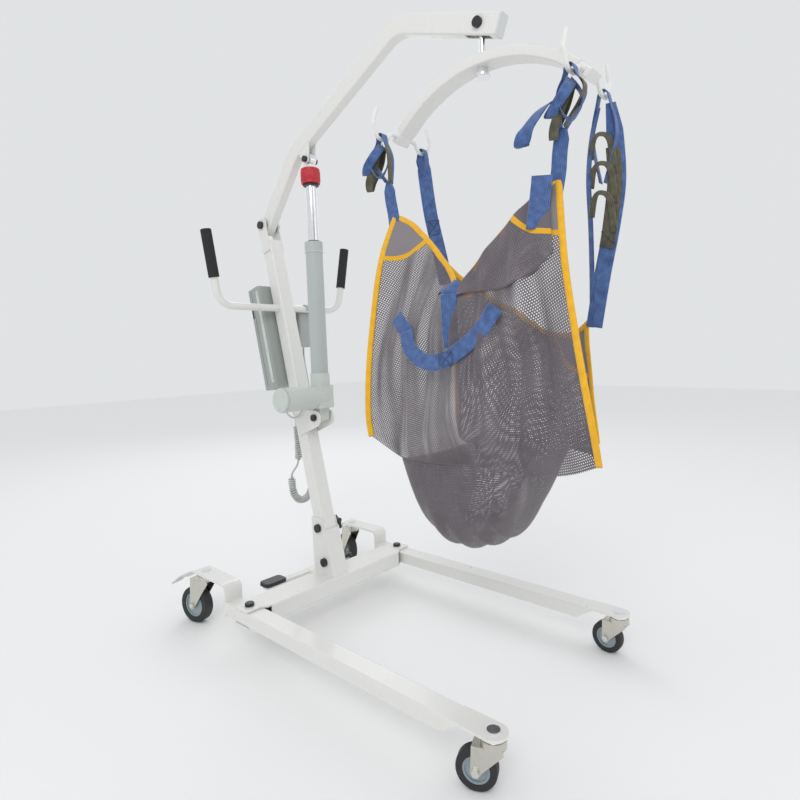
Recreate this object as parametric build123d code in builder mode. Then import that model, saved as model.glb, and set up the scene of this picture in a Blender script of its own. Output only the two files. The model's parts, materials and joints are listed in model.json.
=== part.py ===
from build123d import *
import os
from math import atan2, cos, degrees, pi, radians, sin, sqrt

os.makedirs("parts", exist_ok=True)

# Mobile patient lift: +Z up, the legs point along -Y, the push handles are at the +Y end.
# The origin is on the floor, below the middle of the hoist's length and width.

# ---------------------------------------------------------------- driving sizes
pivot_y = 281             # line of the two leg pivots

leg_pivot_x = 276         # half the distance between the leg pivots
leg_width = 50
leg_height = 34
leg_wall = 2.5
leg_bottom = 71
leg_rear = 75             # leg tube behind its pivot
leg_front = 690           # leg tube ahead of its pivot, at the top
leg_cut = 45              # how far the slanted front end runs back at the bottom
lug_thick = 5
lug_radius = 26
front_stem = 750          # pivot to front caster stem
rear_stem = 218           # pivot to rear caster stem
bracket_thick = 6
bracket_top = 150
bracket_tail = 28         # bracket plate behind the rear stem
bracket_bend = 16

crossbar_depth = 88
crossbar_wall = 3
crossbar_end = 238        # half length of the crossbar tube
fork_thick = 5            # the plates that hold each leg
fork_gap = 1
fork_reach = 26           # fork plate beyond the pivot
fork_half = 28
bolt_d = 12
running = 0.05            # radial clearance of a shaft that turns in a hole

stem_d = 12
race_d = 42
race_thick = 5
crown_d = 46
crown_thick = 15
fork_leg = 2.5
side_gap = 1.5            # between wheel and fork
axle_d = 8
rim_share = 0.66          # wheel core radius over wheel radius

front_wheel = 75
front_tread = 24
front_trail = 30
rear_wheel = 100
rear_tread = 28
rear_trail = 39
near_front_turn = 23      # how far each caster has swung at rest, degrees
far_front_turn = -1
near_rear_turn = 14
far_rear_turn = -14

rocker_z = 88             # pedal shaft
rocker_y = 112            # pedal arm behind the leg pivots
rocker_half = 163
rocker_d = 14
crank = 10                # link pin to pedal shaft
link_d = 8
link_y = 17               # link pin behind each leg pivot
link_pin_d = 6
link_clear = 0.5

mast_size = 45
mast_wall = 2.5
mast_foot_y = -10         # from the leg pivot line
boom_pivot_y = 276        # from the leg pivot line
boom_pivot_z = 1170
ear_thick = 5
ear_half = 20
ear_tip = 22
socket_plate = 4

boom_height = 50
boom_width = 30
boom_wall = 2.5
boom_tail = 20
lower_run = 250
lower_angle = 52
middle_run = 490
middle_angle = 27
end_run = 275
end_angle = -21
boom_overhang = 54
boom_bend = 95

actuator_y = 30           # lower actuator pin, from the leg pivot line
actuator_z = 567
pin_d = 10
open_gap = 8              # play of the upper pin in the rod's eye
tube_d = 50
tube_run = 520            # lower pin to the end of the outer tube
rod_d = 30
collar_d = 56
collar_run = 46
motor_d = 69

handle_z = 900
handle_d = 22
handle_bend = 55
grip_d = 30
grip_run = 137
grip_top = 1115
grip_x = 258
handle_corner_x = 223

spreader_arc = 345
spreader_half = 238
spreader_width = 50
spreader_height = 25
spreader_wall = 2.5
hanger_drop = 85          # boom bolt to the middle of the spreader tube
hanger_d = 14
block_run = 32
hook_d = 10

sling_half = 165          # half the sling's width
sling_thick = 10

# ---------------------------------------------------------------- derived places
leg_top = leg_bottom + leg_height
crossbar_bottom = leg_bottom - fork_gap - fork_thick
crossbar_top = leg_top + fork_gap + fork_thick
crossbar_height = crossbar_top - crossbar_bottom

mast_foot = Vector(0, pivot_y + mast_foot_y, crossbar_top)
boom_pivot = Vector(0, pivot_y + boom_pivot_y, boom_pivot_z)
mast_vector = boom_pivot - mast_foot
mast_run = mast_vector.length
mast_plane = Plane(origin=mast_foot, x_dir=(1, 0, 0), z_dir=mast_vector)


def rise(angle):
    """Unit step forward (-Y) and up at an angle in degrees."""
    return Vector(0, -cos(radians(angle)), sin(radians(angle)))


bend_low = boom_pivot + rise(lower_angle) * lower_run
bend_high = bend_low + rise(middle_angle) * middle_run
hang_bolt = bend_high + rise(end_angle) * end_run
boom_tip = hang_bolt + rise(end_angle) * boom_overhang
actuator_pin = Vector(0, pivot_y + actuator_y, actuator_z)


def yz(point):
    """A point's place in a sketch on Plane.YZ."""
    return (point.Y, point.Z)


# ---------------------------------------------------------------- base crossbar
with BuildPart() as base_crossbar:
    with BuildSketch(Plane.YZ.offset(-crossbar_end)):
        with Locations((pivot_y, (crossbar_top + crossbar_bottom) / 2)):
            RectangleRounded(crossbar_depth, crossbar_height, 5)
            RectangleRounded(crossbar_depth - 2 * crossbar_wall, crossbar_height - 2 * crossbar_wall, 2,
                             mode=Mode.SUBTRACT)
    extrude(amount=2 * crossbar_end)
    for level in (crossbar_bottom, crossbar_top - fork_thick):
        for side in (-1, 1):
            with BuildSketch(Plane.XY.offset(level)):
                with BuildLine():
                    Polyline((side * (crossbar_end - 30), pivot_y - crossbar_depth / 2 + 5),
                             (side * (crossbar_end + 8), pivot_y - crossbar_depth / 2 + 5),
                             (side * (crossbar_end + 20), pivot_y - fork_half),
                             (side * (leg_pivot_x + fork_reach), pivot_y - fork_half),
                             (side * (leg_pivot_x + fork_reach), pivot_y + fork_half),
                             (side * (crossbar_end + 20), pivot_y + fork_half),
                             (side * (crossbar_end + 8), pivot_y + crossbar_depth / 2 - 5),
                             (side * (crossbar_end - 30), pivot_y + crossbar_depth / 2 - 5),
                             close=True)
                make_face()
            extrude(amount=fork_thick)
    # leg pivot holes, and the pedal shaft's bearing in the rear wall
    with Locations(*[(side * leg_pivot_x, pivot_y, 0) for side in (-1, 1)]):
        Cylinder(bolt_d / 2, crossbar_top + 10, align=(Align.CENTER, Align.CENTER, Align.MIN),
                 mode=Mode.SUBTRACT)
    rear_wall_y = pivot_y + crossbar_depth / 2
    with BuildSketch(Plane.XZ.offset(-(rear_wall_y - crossbar_wall))):
        with Locations((0, rocker_z)):
            Circle(rocker_d / 2 + 7)
    extrude(amount=-(crossbar_wall + 16))
    with BuildSketch(Plane.XZ.offset(-(rear_wall_y - crossbar_wall - 1))):
        with Locations((0, rocker_z)):
            Circle(rocker_d / 2 + running)
    extrude(amount=-(crossbar_wall + 20), mode=Mode.SUBTRACT)
base_crossbar.part.label = "base_crossbar"
export_step(base_crossbar.part, "parts/base_crossbar.step")

# ---------------------------------------------------------------- leg pivot bolts
bolt_head_d = 20
bolt_head = 4
bolt_cap_d = 24
bolt_cap = 8
with BuildPart() as leg_pivot_bolts:
    for side in (-1, 1):
        with BuildSketch(Plane.XY.offset(crossbar_bottom - 12)):
            with Locations((side * leg_pivot_x, pivot_y)):
                Circle(bolt_d / 2)
        extrude(amount=crossbar_top - crossbar_bottom + 12)
        with BuildSketch(Plane.XY.offset(crossbar_bottom - 9)):
            with Locations((side * leg_pivot_x, pivot_y)):
                RegularPolygon(bolt_head_d / 2, 6)
        extrude(amount=9)
        with BuildSketch(Plane.XY.offset(crossbar_top)):
            with Locations((side * leg_pivot_x, pivot_y)):
                Circle(bolt_cap_d / 2)
        extrude(amount=bolt_cap)
    fillet(leg_pivot_bolts.edges().group_by(Axis.Z)[-1], 2.5)
leg_pivot_bolts.part.label = "leg_pivot_bolts"
export_step(leg_pivot_bolts.part, "parts/leg_pivot_bolts.step")

# ---------------------------------------------------------------- legs, one each side
for side, name in ((-1, "right"), (1, "left")):
    x = side * leg_pivot_x
    with BuildPart() as leg:
        with BuildSketch(Plane.XZ.offset(-(pivot_y + leg_rear))):
            with Locations((x, leg_bottom + leg_height / 2)):
                RectangleRounded(leg_width, leg_height, 4)
                RectangleRounded(leg_width - 2 * leg_wall, leg_height - 2 * leg_wall, 1.5,
                                 mode=Mode.SUBTRACT)
        extrude(amount=leg_rear + leg_front)
        # slanted front end
        with BuildSketch(Plane.YZ.offset(x - leg_width)):
            with BuildLine():
                Polyline((pivot_y - leg_front + leg_cut, leg_bottom - 1),
                         (pivot_y - leg_front, leg_top - lug_thick),
                         (pivot_y - leg_front - 9, leg_bottom - 1), close=True)
            make_face()
        extrude(amount=2 * leg_width, mode=Mode.SUBTRACT)
        # flat lug over the front caster
        with BuildSketch(Plane.XY.offset(leg_top - lug_thick)):
            with Locations((x, pivot_y - front_stem)):
                Circle(lug_radius)
            with Locations((x, pivot_y - (front_stem + leg_front - 20) / 2)):
                Rectangle(leg_width, front_stem - leg_front + 20)
        extrude(amount=lug_thick)
        # bent flat bar up to the rear caster
        with BuildSketch(Plane.YZ.offset(x - leg_width / 2)):
            with BuildLine():
                FilletPolyline((pivot_y + leg_rear + bracket_thick / 2, leg_bottom),
                               (pivot_y + leg_rear + bracket_thick / 2, bracket_top - bracket_thick / 2),
                               (pivot_y + rear_stem + bracket_tail, bracket_top - bracket_thick / 2),
                               radius=bracket_bend)
                offset(amount=bracket_thick / 2, kind=Kind.INTERSECTION, side=Side.BOTH)
            make_face()
        extrude(amount=leg_width)
        # holes for the pivot bolt, the two caster stems and the spread link
        with Locations((x, pivot_y, 0)):
            Cylinder(bolt_d / 2 + running, bracket_top, align=(Align.CENTER, Align.CENTER, Align.MIN),
                     mode=Mode.SUBTRACT)
        with Locations((x, pivot_y - front_stem, 0), (x, pivot_y + rear_stem, 0)):
            Cylinder(stem_d / 2, bracket_top + 10, align=(Align.CENTER, Align.CENTER, Align.MIN),
                     mode=Mode.SUBTRACT)
        with Locations((x - side * leg_width / 2, pivot_y + link_y, leg_bottom + leg_height / 2)):
            Box(3 * leg_wall, link_d + 12, leg_height - 2 * leg_wall - 1, mode=Mode.SUBTRACT)
        with BuildSketch(Plane.XY.offset(leg_bottom + leg_wall)):
            with Locations((x, pivot_y + link_y)):
                Circle(link_pin_d / 2)
        extrude(amount=leg_height - 2 * leg_wall)
    leg.part.label = f"leg_{name}"
    export_step(leg.part, f"parts/leg_{name}.step")

    # stems with their upper races, and the round plugs that close the stem holes
    with BuildPart() as stems:
        for stem_y, plate_top, plate in ((pivot_y - front_stem, leg_top, lug_thick),
                                         (pivot_y + rear_stem, bracket_top, bracket_thick)):
            under = plate_top - plate
            with BuildSketch(Plane.XY.offset(under - race_thick)):
                with Locations((x, stem_y)):
                    Circle(race_d / 2)
            extrude(amount=race_thick)
            with BuildSketch(Plane.XY.offset(under - race_thick - crown_thick - 1)):
                with Locations((x, stem_y)):
                    Circle(stem_d / 2)
            extrude(amount=plate + race_thick + crown_thick + 1)
            with BuildSketch(Plane.XY.offset(plate_top)):
                with Locations((x, stem_y)):
                    Circle(bolt_cap_d / 2)
            extrude(amount=3)
    stems.part.label = f"caster_stems_{name}"
    export_step(stems.part, f"parts/caster_stems_{name}.step")

# ---------------------------------------------------------------- casters
front_caster = (-front_stem, leg_top - lug_thick, front_wheel, front_tread, front_trail)
rear_caster = (rear_stem, bracket_top - bracket_thick, rear_wheel, rear_tread, rear_trail)
casters = (("front_right", -1, *front_caster, near_front_turn), ("front_left", 1, *front_caster, far_front_turn),
           ("rear_right", -1, *rear_caster, near_rear_turn), ("rear_left", 1, *rear_caster, far_rear_turn))
for name, side, stem_y, under, wheel_d, tread, trail, turn in casters:
    # local x across the wheel, local y along the trail
    across = Vector(cos(radians(turn)), sin(radians(turn)), 0)
    along = Vector(-sin(radians(turn)), cos(radians(turn)), 0)
    stem = Vector(side * leg_pivot_x, pivot_y + stem_y, 0)
    hub = stem + along * trail + Vector(0, 0, wheel_d / 2)
    crown_top = under - race_thick - 0.4
    crown_low = crown_top - crown_thick
    hub_z = wheel_d / 2
    half = tread / 2 + side_gap
    top_plane = Plane(origin=stem, x_dir=across, z_dir=(0, 0, 1))
    side_plane = Plane(origin=stem, x_dir=along, z_dir=across)
    wheel_plane = Plane(origin=hub, x_dir=along, z_dir=across)

    with BuildPart() as caster_fork:
        with BuildSketch(top_plane.offset(crown_low)):
            Circle(crown_d / 2)
            Circle(stem_d / 2 + running, mode=Mode.SUBTRACT)
        extrude(amount=crown_thick)
        # crown plate over the wheel, then the two side plates
        with BuildSketch(top_plane.offset(crown_low)):
            with Locations((0, trail / 2 - 4)):
                Rectangle(2 * (half + fork_leg), trail + 22)
            Circle(stem_d / 2 + running, mode=Mode.SUBTRACT)
        extrude(amount=fork_leg)
        for way in (-1, 1):
            with BuildSketch(side_plane.offset(half if way > 0 else -half - fork_leg)):
                with BuildLine():
                    Polyline((-19, crown_low + fork_leg), (trail + 7, crown_low + fork_leg),
                             (trail + 9, hub_z - 3), (trail + 4, hub_z - 10), (trail - 4, hub_z - 10),
                             (trail - 11, hub_z), (-19, crown_low - 6), close=True)
                make_face()
                with Locations((trail, hub_z)):
                    Circle(axle_d / 2, mode=Mode.SUBTRACT)
            extrude(amount=fork_leg)
    caster_fork.part.label = f"fork_{name}"
    export_step(caster_fork.part, f"parts/fork_{name}.step")

    core_radius = rim_share * wheel_d / 2
    with BuildPart() as tyre:
        with BuildSketch(wheel_plane.offset(-tread / 2)):
            Circle(wheel_d / 2)
            Circle(core_radius, mode=Mode.SUBTRACT)
        extrude(amount=tread)
        fillet(tyre.edges().filter_by(GeomType.CIRCLE).group_by(SortBy.RADIUS)[-1], 5)
    tyre.part.label = f"tyre_{name}"
    export_step(tyre.part, f"parts/tyre_{name}.step")

    with BuildPart() as core:
        with BuildSketch(wheel_plane.offset(-tread / 2 + 2)):
            Circle(core_radius)
        extrude(amount=tread - 4)
        for way in (-1, 1):
            with BuildSketch(wheel_plane.offset(way * tread / 2)):
                Circle(core_radius - 4)
                Circle(axle_d / 2 + 6, mode=Mode.SUBTRACT)
            extrude(amount=-way * 5, mode=Mode.SUBTRACT)
        with BuildSketch(wheel_plane.offset(-tread / 2)):
            Circle(axle_d / 2 + 5)
        extrude(amount=tread)
        with BuildSketch(wheel_plane.offset(-tread / 2 - 1)):
            Circle(axle_d / 2 + running)
        extrude(amount=tread + 2, mode=Mode.SUBTRACT)
    core.part.label = f"wheel_core_{name}"
    export_step(core.part, f"parts/wheel_core_{name}.step")

    with BuildPart() as axle:
        with BuildSketch(wheel_plane.offset(-half - fork_leg)):
            Circle(axle_d / 2)
        extrude(amount=2 * (half + fork_leg))
        for way in (-1, 1):
            with BuildSketch(wheel_plane.offset(way * (half + fork_leg))):
                RegularPolygon(7.5, 6)
            extrude(amount=way * 4.5)
    axle.part.label = f"axle_{name}"
    export_step(axle.part, f"parts/axle_{name}.step")

    if name.startswith("rear"):
        # foot brake: a bent plate on a pin behind the crown
        brake_z = crown_top - 5
        brake_s = trail + 12
        with BuildPart() as brake:
            with BuildSketch(side_plane.offset(-17)):
                with BuildLine():
                    Polyline((brake_s - 1, brake_z - 3), (brake_s + 9, brake_z + 3),
                             (brake_s + 38, brake_z - 8), (brake_s + 72, brake_z - 34),
                             (brake_s + 70, brake_z - 37), (brake_s + 37, brake_z - 11.5),
                             (brake_s + 8, brake_z - 5), close=True)
                make_face()
            extrude(amount=34)
        brake.part.label = f"brake_pedal_{name[5:]}"
        export_step(brake.part, f"parts/brake_pedal_{name[5:]}.step")

# ---------------------------------------------------------------- pedal that spreads the legs
pad_x = 128
pad_run = 70
with BuildPart() as pedal_rocker:
    crank_y = pivot_y + link_y + link_d / 2 + 3
    with BuildSketch(Plane.XZ.offset(-crank_y)):
        with Locations((0, rocker_z)):
            Circle(rocker_d / 2)
    extrude(amount=-(pivot_y + rocker_y + 8 - crank_y))
    with BuildSketch(Plane.XZ.offset(-crank_y)):
        with Locations((0, rocker_z)):
            SlotOverall(2 * crank + 14, 14, rotation=90)
    extrude(amount=-5)
    # two pins that drive the link rods
    with BuildSketch(Plane.XZ.offset(-crank_y)):
        with Locations((0, rocker_z - crank), (0, rocker_z + crank)):
            Circle(2.5)
    extrude(amount=link_d + 2)
    with BuildSketch(Plane.XY.offset(rocker_z - 4)):
        with Locations((0, pivot_y + rocker_y)):
            RectangleRounded(2 * rocker_half - 10, 26, 6)
    extrude(amount=8)
pedal_rocker.part.label = "pedal_rocker"
export_step(pedal_rocker.part, "parts/pedal_rocker.step")

with BuildPart() as pedal_pads:
    for side in (-1, 1):
        with BuildSketch(Plane.XY.offset(rocker_z + 4)):
            with Locations((side * pad_x, pivot_y + rocker_y)):
                RectangleRounded(pad_run, 44, 12)
        extrude(amount=10)
    fillet(pedal_pads.edges().group_by(Axis.Z)[-1], 3)
pedal_pads.part.label = "pedal_pads"
export_step(pedal_pads.part, "parts/pedal_pads.step")

# two push rods inside the crossbar, from the pedal's crank to a pin in each leg
for side, name in ((-1, "right"), (1, "left")):
    link_z = rocker_z - side * crank
    with BuildPart() as link:
        with Locations((side * (leg_pivot_x + 8) / 2, pivot_y + link_y + 1, link_z)):
            Box(leg_pivot_x - 8, link_d, 6)
        with Locations((side * leg_pivot_x, pivot_y + link_y, link_z)):
            Box(20, 14, 6)
            Box(link_pin_d + 2 * link_clear, link_pin_d + 4 * link_clear, 20, mode=Mode.SUBTRACT)
        with Locations((0, pivot_y + link_y + 1, link_z)):
            Box(20, link_d, 10)
        with Locations((0, pivot_y + link_y, link_z)):
            Box(5 + 2 * link_clear, 30, 7, mode=Mode.SUBTRACT)
    link.part.label = f"link_rod_{name}"
    export_step(link.part, f"parts/link_rod_{name}.step")

# ---------------------------------------------------------------- mast socket
socket_x = mast_size / 2 + socket_plate + 0.5
socket_height = 130
socket_ear = 30
mast_slope = mast_vector.Y / mast_vector.Z
low_bolt_run = 38         # along the mast from its foot
high_bolt_run = 136


def along_mast(across, height):
    """Place in a sketch on Plane.YZ, at a distance behind the mast's middle and a height above its foot."""
    return (mast_foot.Y + across + height * mast_slope, mast_foot.Z + height)


front_skin = (mast_size / 2 + 0.8) / (mast_vector.Z / mast_run)
front_face = front_skin + socket_plate
with BuildPart() as mast_socket:
    for side in (-1, 1):
        with BuildSketch(Plane.YZ.offset(side * socket_x)):
            with BuildLine():
                Polyline(along_mast(-front_face, 0), along_mast(-front_face, socket_height),
                         along_mast(-22, socket_height + 6), along_mast(-22, socket_height + socket_ear),
                         along_mast(24, socket_height + socket_ear), along_mast(30, socket_height),
                         along_mast(56, 0), close=True)
            make_face()
        extrude(amount=-side * socket_plate)
    # front plate between the two sides
    with BuildSketch(Plane.YZ.offset(-socket_x)):
        with BuildLine():
            Polyline(along_mast(-front_face, 0), along_mast(-front_face, socket_height),
                     along_mast(-front_skin, socket_height), along_mast(-front_skin, 0), close=True)
        make_face()
    extrude(amount=2 * socket_x)
    for run in (low_bolt_run, high_bolt_run):
        centre = mast_foot + mast_plane.z_dir * run
        with BuildSketch(Plane.YZ.offset(-60)):
            with Locations(yz(centre)):
                Circle(bolt_d / 2)
        extrude(amount=120, mode=Mode.SUBTRACT)
mast_socket.part.label = "mast_socket"
export_step(mast_socket.part, "parts/mast_socket.step")

# ---------------------------------------------------------------- mast
mast_start = 8
mast_end = mast_run - 56
handle_run = (handle_z - mast_foot.Z) / cos(atan2(mast_vector.Y, mast_vector.Z))
with BuildPart() as mast:
    with BuildSketch(mast_plane.offset(mast_start)):
        RectangleRounded(mast_size, mast_size, 4)
        RectangleRounded(mast_size - 2 * mast_wall, mast_size - 2 * mast_wall, 1.5, mode=Mode.SUBTRACT)
    extrude(amount=mast_end - mast_start)
    # two ears welded to the sides carry the boom
    for side in (-1, 1):
        ear_plane = Plane(origin=mast_foot, x_dir=mast_plane.y_dir, z_dir=(1, 0, 0))
        with BuildSketch(ear_plane.offset(side * mast_size / 2)):
            with Locations((0, mast_run)):
                Circle(ear_tip)
            with Locations((0, mast_run - 45)):
                Rectangle(2 * ear_half, 90)
            with Locations((0, mast_run)):
                Circle(bolt_d / 2, mode=Mode.SUBTRACT)
        extrude(amount=side * ear_thick)
    # cross holes for the foot bolts and the handle tube
    for run, hole in ((low_bolt_run, bolt_d), (high_bolt_run, bolt_d), (handle_run, handle_d)):
        centre = mast_foot + mast_plane.z_dir * run
        with BuildSketch(Plane.YZ.offset(-60)):
            with Locations(yz(centre)):
                Circle(hole / 2)
        extrude(amount=120, mode=Mode.SUBTRACT)
mast.part.label = "mast"
export_step(mast.part, "parts/mast.step")

# cross bolts of the mast foot; the upper one ends in the locking knob
with BuildPart() as mast_bolts:
    for run, far_end in ((low_bolt_run, socket_x + 9), (high_bolt_run, socket_x + 14)):
        centre = mast_foot + mast_plane.z_dir * run
        with BuildSketch(Plane.YZ.offset(-socket_x)):
            with Locations(yz(centre)):
                Circle(bolt_d / 2)
        extrude(amount=socket_x + far_end)
        with BuildSketch(Plane.YZ.offset(-socket_x)):
            with Locations(yz(centre)):
                Circle(bolt_cap_d / 2)
        extrude(amount=-bolt_cap)
    with BuildSketch(Plane.YZ.offset(socket_x)):
        with Locations(yz(mast_foot + mast_plane.z_dir * low_bolt_run)):
            RegularPolygon(bolt_head_d / 2, 6)
    extrude(amount=bolt_cap)
mast_bolts.part.label = "mast_bolts"
export_step(mast_bolts.part, "parts/mast_bolts.step")

knob_centre = mast_foot + mast_plane.z_dir * high_bolt_run
with BuildPart() as mast_knob:
    with BuildSketch(Plane.YZ.offset(socket_x + 0.5)):
        with Locations(yz(knob_centre)):
            Circle(17)
            with PolarLocations(17, 5):
                Circle(6)
    extrude(amount=20)
    fillet(mast_knob.edges().group_by(Axis.X)[-1], 3)
    with BuildSketch(Plane.YZ.offset(socket_x)):
        with Locations(yz(knob_centre)):
            Circle(bolt_d / 2 + running)
    extrude(amount=15, mode=Mode.SUBTRACT)
mast_knob.part.label = "mast_knob"
export_step(mast_knob.part, "parts/mast_knob.step")

# ---------------------------------------------------------------- handlebar and grips
with BuildPart() as handlebar:
    handle_y = mast_foot.Y + (handle_z - mast_foot.Z) * mast_vector.Y / mast_vector.Z
    grip_tip = Vector(grip_x, handle_y, grip_top)
    corner = Vector(handle_corner_x, handle_y, handle_z)
    grip_dir = (grip_tip - corner).normalized()
    bar_end = grip_tip - grip_dir * 4
    with BuildLine() as handle_path:
        FilletPolyline((-bar_end.X, bar_end.Y, bar_end.Z), (-corner.X, corner.Y, corner.Z), corner, bar_end,
                       radius=handle_bend)
    with BuildSketch(Plane(origin=handle_path.line @ 0, z_dir=handle_path.line % 0)):
        Circle(handle_d / 2)
    sweep()
handlebar.part.label = "handlebar"
export_step(handlebar.part, "parts/handlebar.step")

with BuildPart() as grips:
    for side in (-1, 1):
        tip = Vector(side * grip_tip.X, grip_tip.Y, grip_tip.Z)
        down = Vector(-side * grip_dir.X, 0, -grip_dir.Z)
        with BuildSketch(Plane(origin=tip, z_dir=down)):
            Circle(grip_d / 2)
        extrude(amount=grip_run)
        with BuildSketch(Plane(origin=tip + down * 4, z_dir=down)):
            Circle(handle_d / 2)
        extrude(amount=grip_run, mode=Mode.SUBTRACT)
    fillet(grips.edges().filter_by(GeomType.CIRCLE).group_by(Axis.Z)[-1], 4)
grips.part.label = "grips"
export_step(grips.part, "parts/grips.step")

# ---------------------------------------------------------------- boom
with BuildPart() as boom:
    tail = boom_pivot - rise(lower_angle) * boom_tail
    with BuildLine() as boom_path:
        FilletPolyline(tail, bend_low, bend_high, boom_tip, radius=boom_bend)
    with BuildSketch(Plane(origin=tail, x_dir=(1, 0, 0), z_dir=rise(lower_angle))):
        RectangleRounded(boom_width, boom_height, 5)
        RectangleRounded(boom_width - 2 * boom_wall, boom_height - 2 * boom_wall, 2.5, mode=Mode.SUBTRACT)
    sweep()
    # pivot hole with its bush seat, and the hole for the hanger bolt
    for centre, hole in ((boom_pivot, bolt_d / 2 + running), (hang_bolt, pin_d / 2)):
        with BuildSketch(Plane.YZ.offset(-30)):
            with Locations(yz(centre)):
                Circle(hole)
        extrude(amount=60, mode=Mode.SUBTRACT)
    # slot in the underside for the hanger
    end_up = Vector(0, -sin(radians(end_angle)), -cos(radians(end_angle)))
    slot_plane = Plane(origin=hang_bolt, x_dir=(1, 0, 0), z_dir=(0, end_up.Y * -1, end_up.Z * -1))
    with BuildSketch(slot_plane.offset(-boom_height)):
        Rectangle(18, 74)
    extrude(amount=boom_height - 10, mode=Mode.SUBTRACT)
boom.part.label = "boom"
export_step(boom.part, "parts/boom.step")

# ---------------------------------------------------------------- fittings on the boom
with BuildPart() as boom_pivot_bolt:
    ear_out = mast_size / 2 + ear_thick
    with BuildSketch(Plane.YZ.offset(-ear_out)):
        with Locations(yz(boom_pivot)):
            Circle(bolt_d / 2)
    extrude(amount=2 * ear_out)
    for side in (-1, 1):
        with BuildSketch(Plane.YZ.offset(side * ear_out)):
            with Locations(yz(boom_pivot)):
                Circle(bolt_cap_d / 2)
        extrude(amount=side * bolt_cap)
        # spacer washer between ear and boom
        with BuildSketch(Plane.YZ.offset(side * mast_size / 2)):
            with Locations(yz(boom_pivot)):
                Circle(14)
        extrude(amount=-side * ((mast_size - boom_width) / 2 - running))
boom_pivot_bolt.part.label = "boom_pivot_bolt"
export_step(boom_pivot_bolt.part, "parts/boom_pivot_bolt.step")

with BuildPart() as boom_end_cap:
    with BuildSketch(Plane(origin=boom_tip, x_dir=(1, 0, 0), z_dir=rise(end_angle))):
        RectangleRounded(boom_width, boom_height, 5)
    extrude(amount=4)
    fillet(boom_end_cap.edges().group_by(Axis.Y)[0], 1.5)
    with BuildSketch(Plane(origin=boom_tip, x_dir=(1, 0, 0), z_dir=-rise(end_angle))):
        RectangleRounded(boom_width - 2 * boom_wall, boom_height - 2 * boom_wall, 2.5)
    extrude(amount=8)
boom_end_cap.part.label = "boom_end_cap"
export_step(boom_end_cap.part, "parts/boom_end_cap.step")

# bracket under the boom for the actuator
bracket_run = 43          # along the middle run from the lower bend
bracket_drop = 60         # below the tube's middle
bracket_gap = 22
middle_step = rise(middle_angle)
middle_down = Vector(0, -sin(radians(middle_angle)), -cos(radians(middle_angle)))
upper_pin = bend_low + middle_step * bracket_run + middle_down * bracket_drop
underside = bend_low + middle_down * (boom_height / 2)
with BuildPart() as boom_bracket:
    for side in (-1, 1):
        with BuildSketch(Plane.YZ.offset(side * (bracket_gap / 2 + 0.1))):
            with BuildLine():
                Polyline(yz(underside + middle_step * (bracket_run - 17)),
                         yz(underside + middle_step * (bracket_run + 34)),
                         yz(upper_pin + middle_step * 13 + middle_down * 2),
                         yz(upper_pin + middle_step * 6 + middle_down * 12),
                         yz(upper_pin - middle_step * 6 + middle_down * 12),
                         yz(upper_pin - middle_step * 12 + middle_down * 5), close=True)
            make_face()
            with Locations(yz(upper_pin)):
                Circle(pin_d / 2, mode=Mode.SUBTRACT)
        extrude(amount=side * 4)
boom_bracket.part.label = "boom_bracket"
export_step(boom_bracket.part, "parts/boom_bracket.step")

# the upper actuator pin and the hanger bolt, each with two caps
with BuildPart() as boom_pins:
    for centre, reach, cap_d in ((upper_pin, bracket_gap / 2 + 4.1, 18),
                                 (hang_bolt, boom_width / 2, bolt_cap_d)):
        with BuildSketch(Plane.YZ.offset(-reach)):
            with Locations(yz(centre)):
                Circle(pin_d / 2)
        extrude(amount=2 * reach)
        for side in (-1, 1):
            with BuildSketch(Plane.YZ.offset(side * reach)):
                with Locations(yz(centre)):
                    Circle(cap_d / 2)
            extrude(amount=side * bolt_cap)
boom_pins.part.label = "boom_pins"
export_step(boom_pins.part, "parts/boom_pins.step")

# ---------------------------------------------------------------- hanger and spreader
bar_z = hang_bolt.Z - hanger_drop
bar_under = bar_z - spreader_height / 2
boss_d = 24
with BuildPart() as hanger_eye:
    with BuildSketch(Plane.YZ.offset(-6)):
        with Locations(yz(hang_bolt)):
            Circle(13)
    extrude(amount=12)
    with BuildSketch(Plane.XY.offset(bar_under - 14)):
        with Locations((0, hang_bolt.Y)):
            Circle(hanger_d / 2)
    extrude(amount=hang_bolt.Z - bar_under + 14 - 9)
    with BuildSketch(Plane.YZ.offset(-30)):
        with Locations(yz(hang_bolt)):
            Circle(pin_d / 2 + running)
    extrude(amount=60, mode=Mode.SUBTRACT)
    with BuildSketch(Plane.XY.offset(bar_under - 14)):
        with Locations((0, hang_bolt.Y)):
            Circle(17)
    extrude(amount=-7)
    fillet(hanger_eye.edges().group_by(Axis.Z)[0], 2)
hanger_eye.part.label = "hanger_eye"
export_step(hanger_eye.part, "parts/hanger_eye.step")

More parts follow.
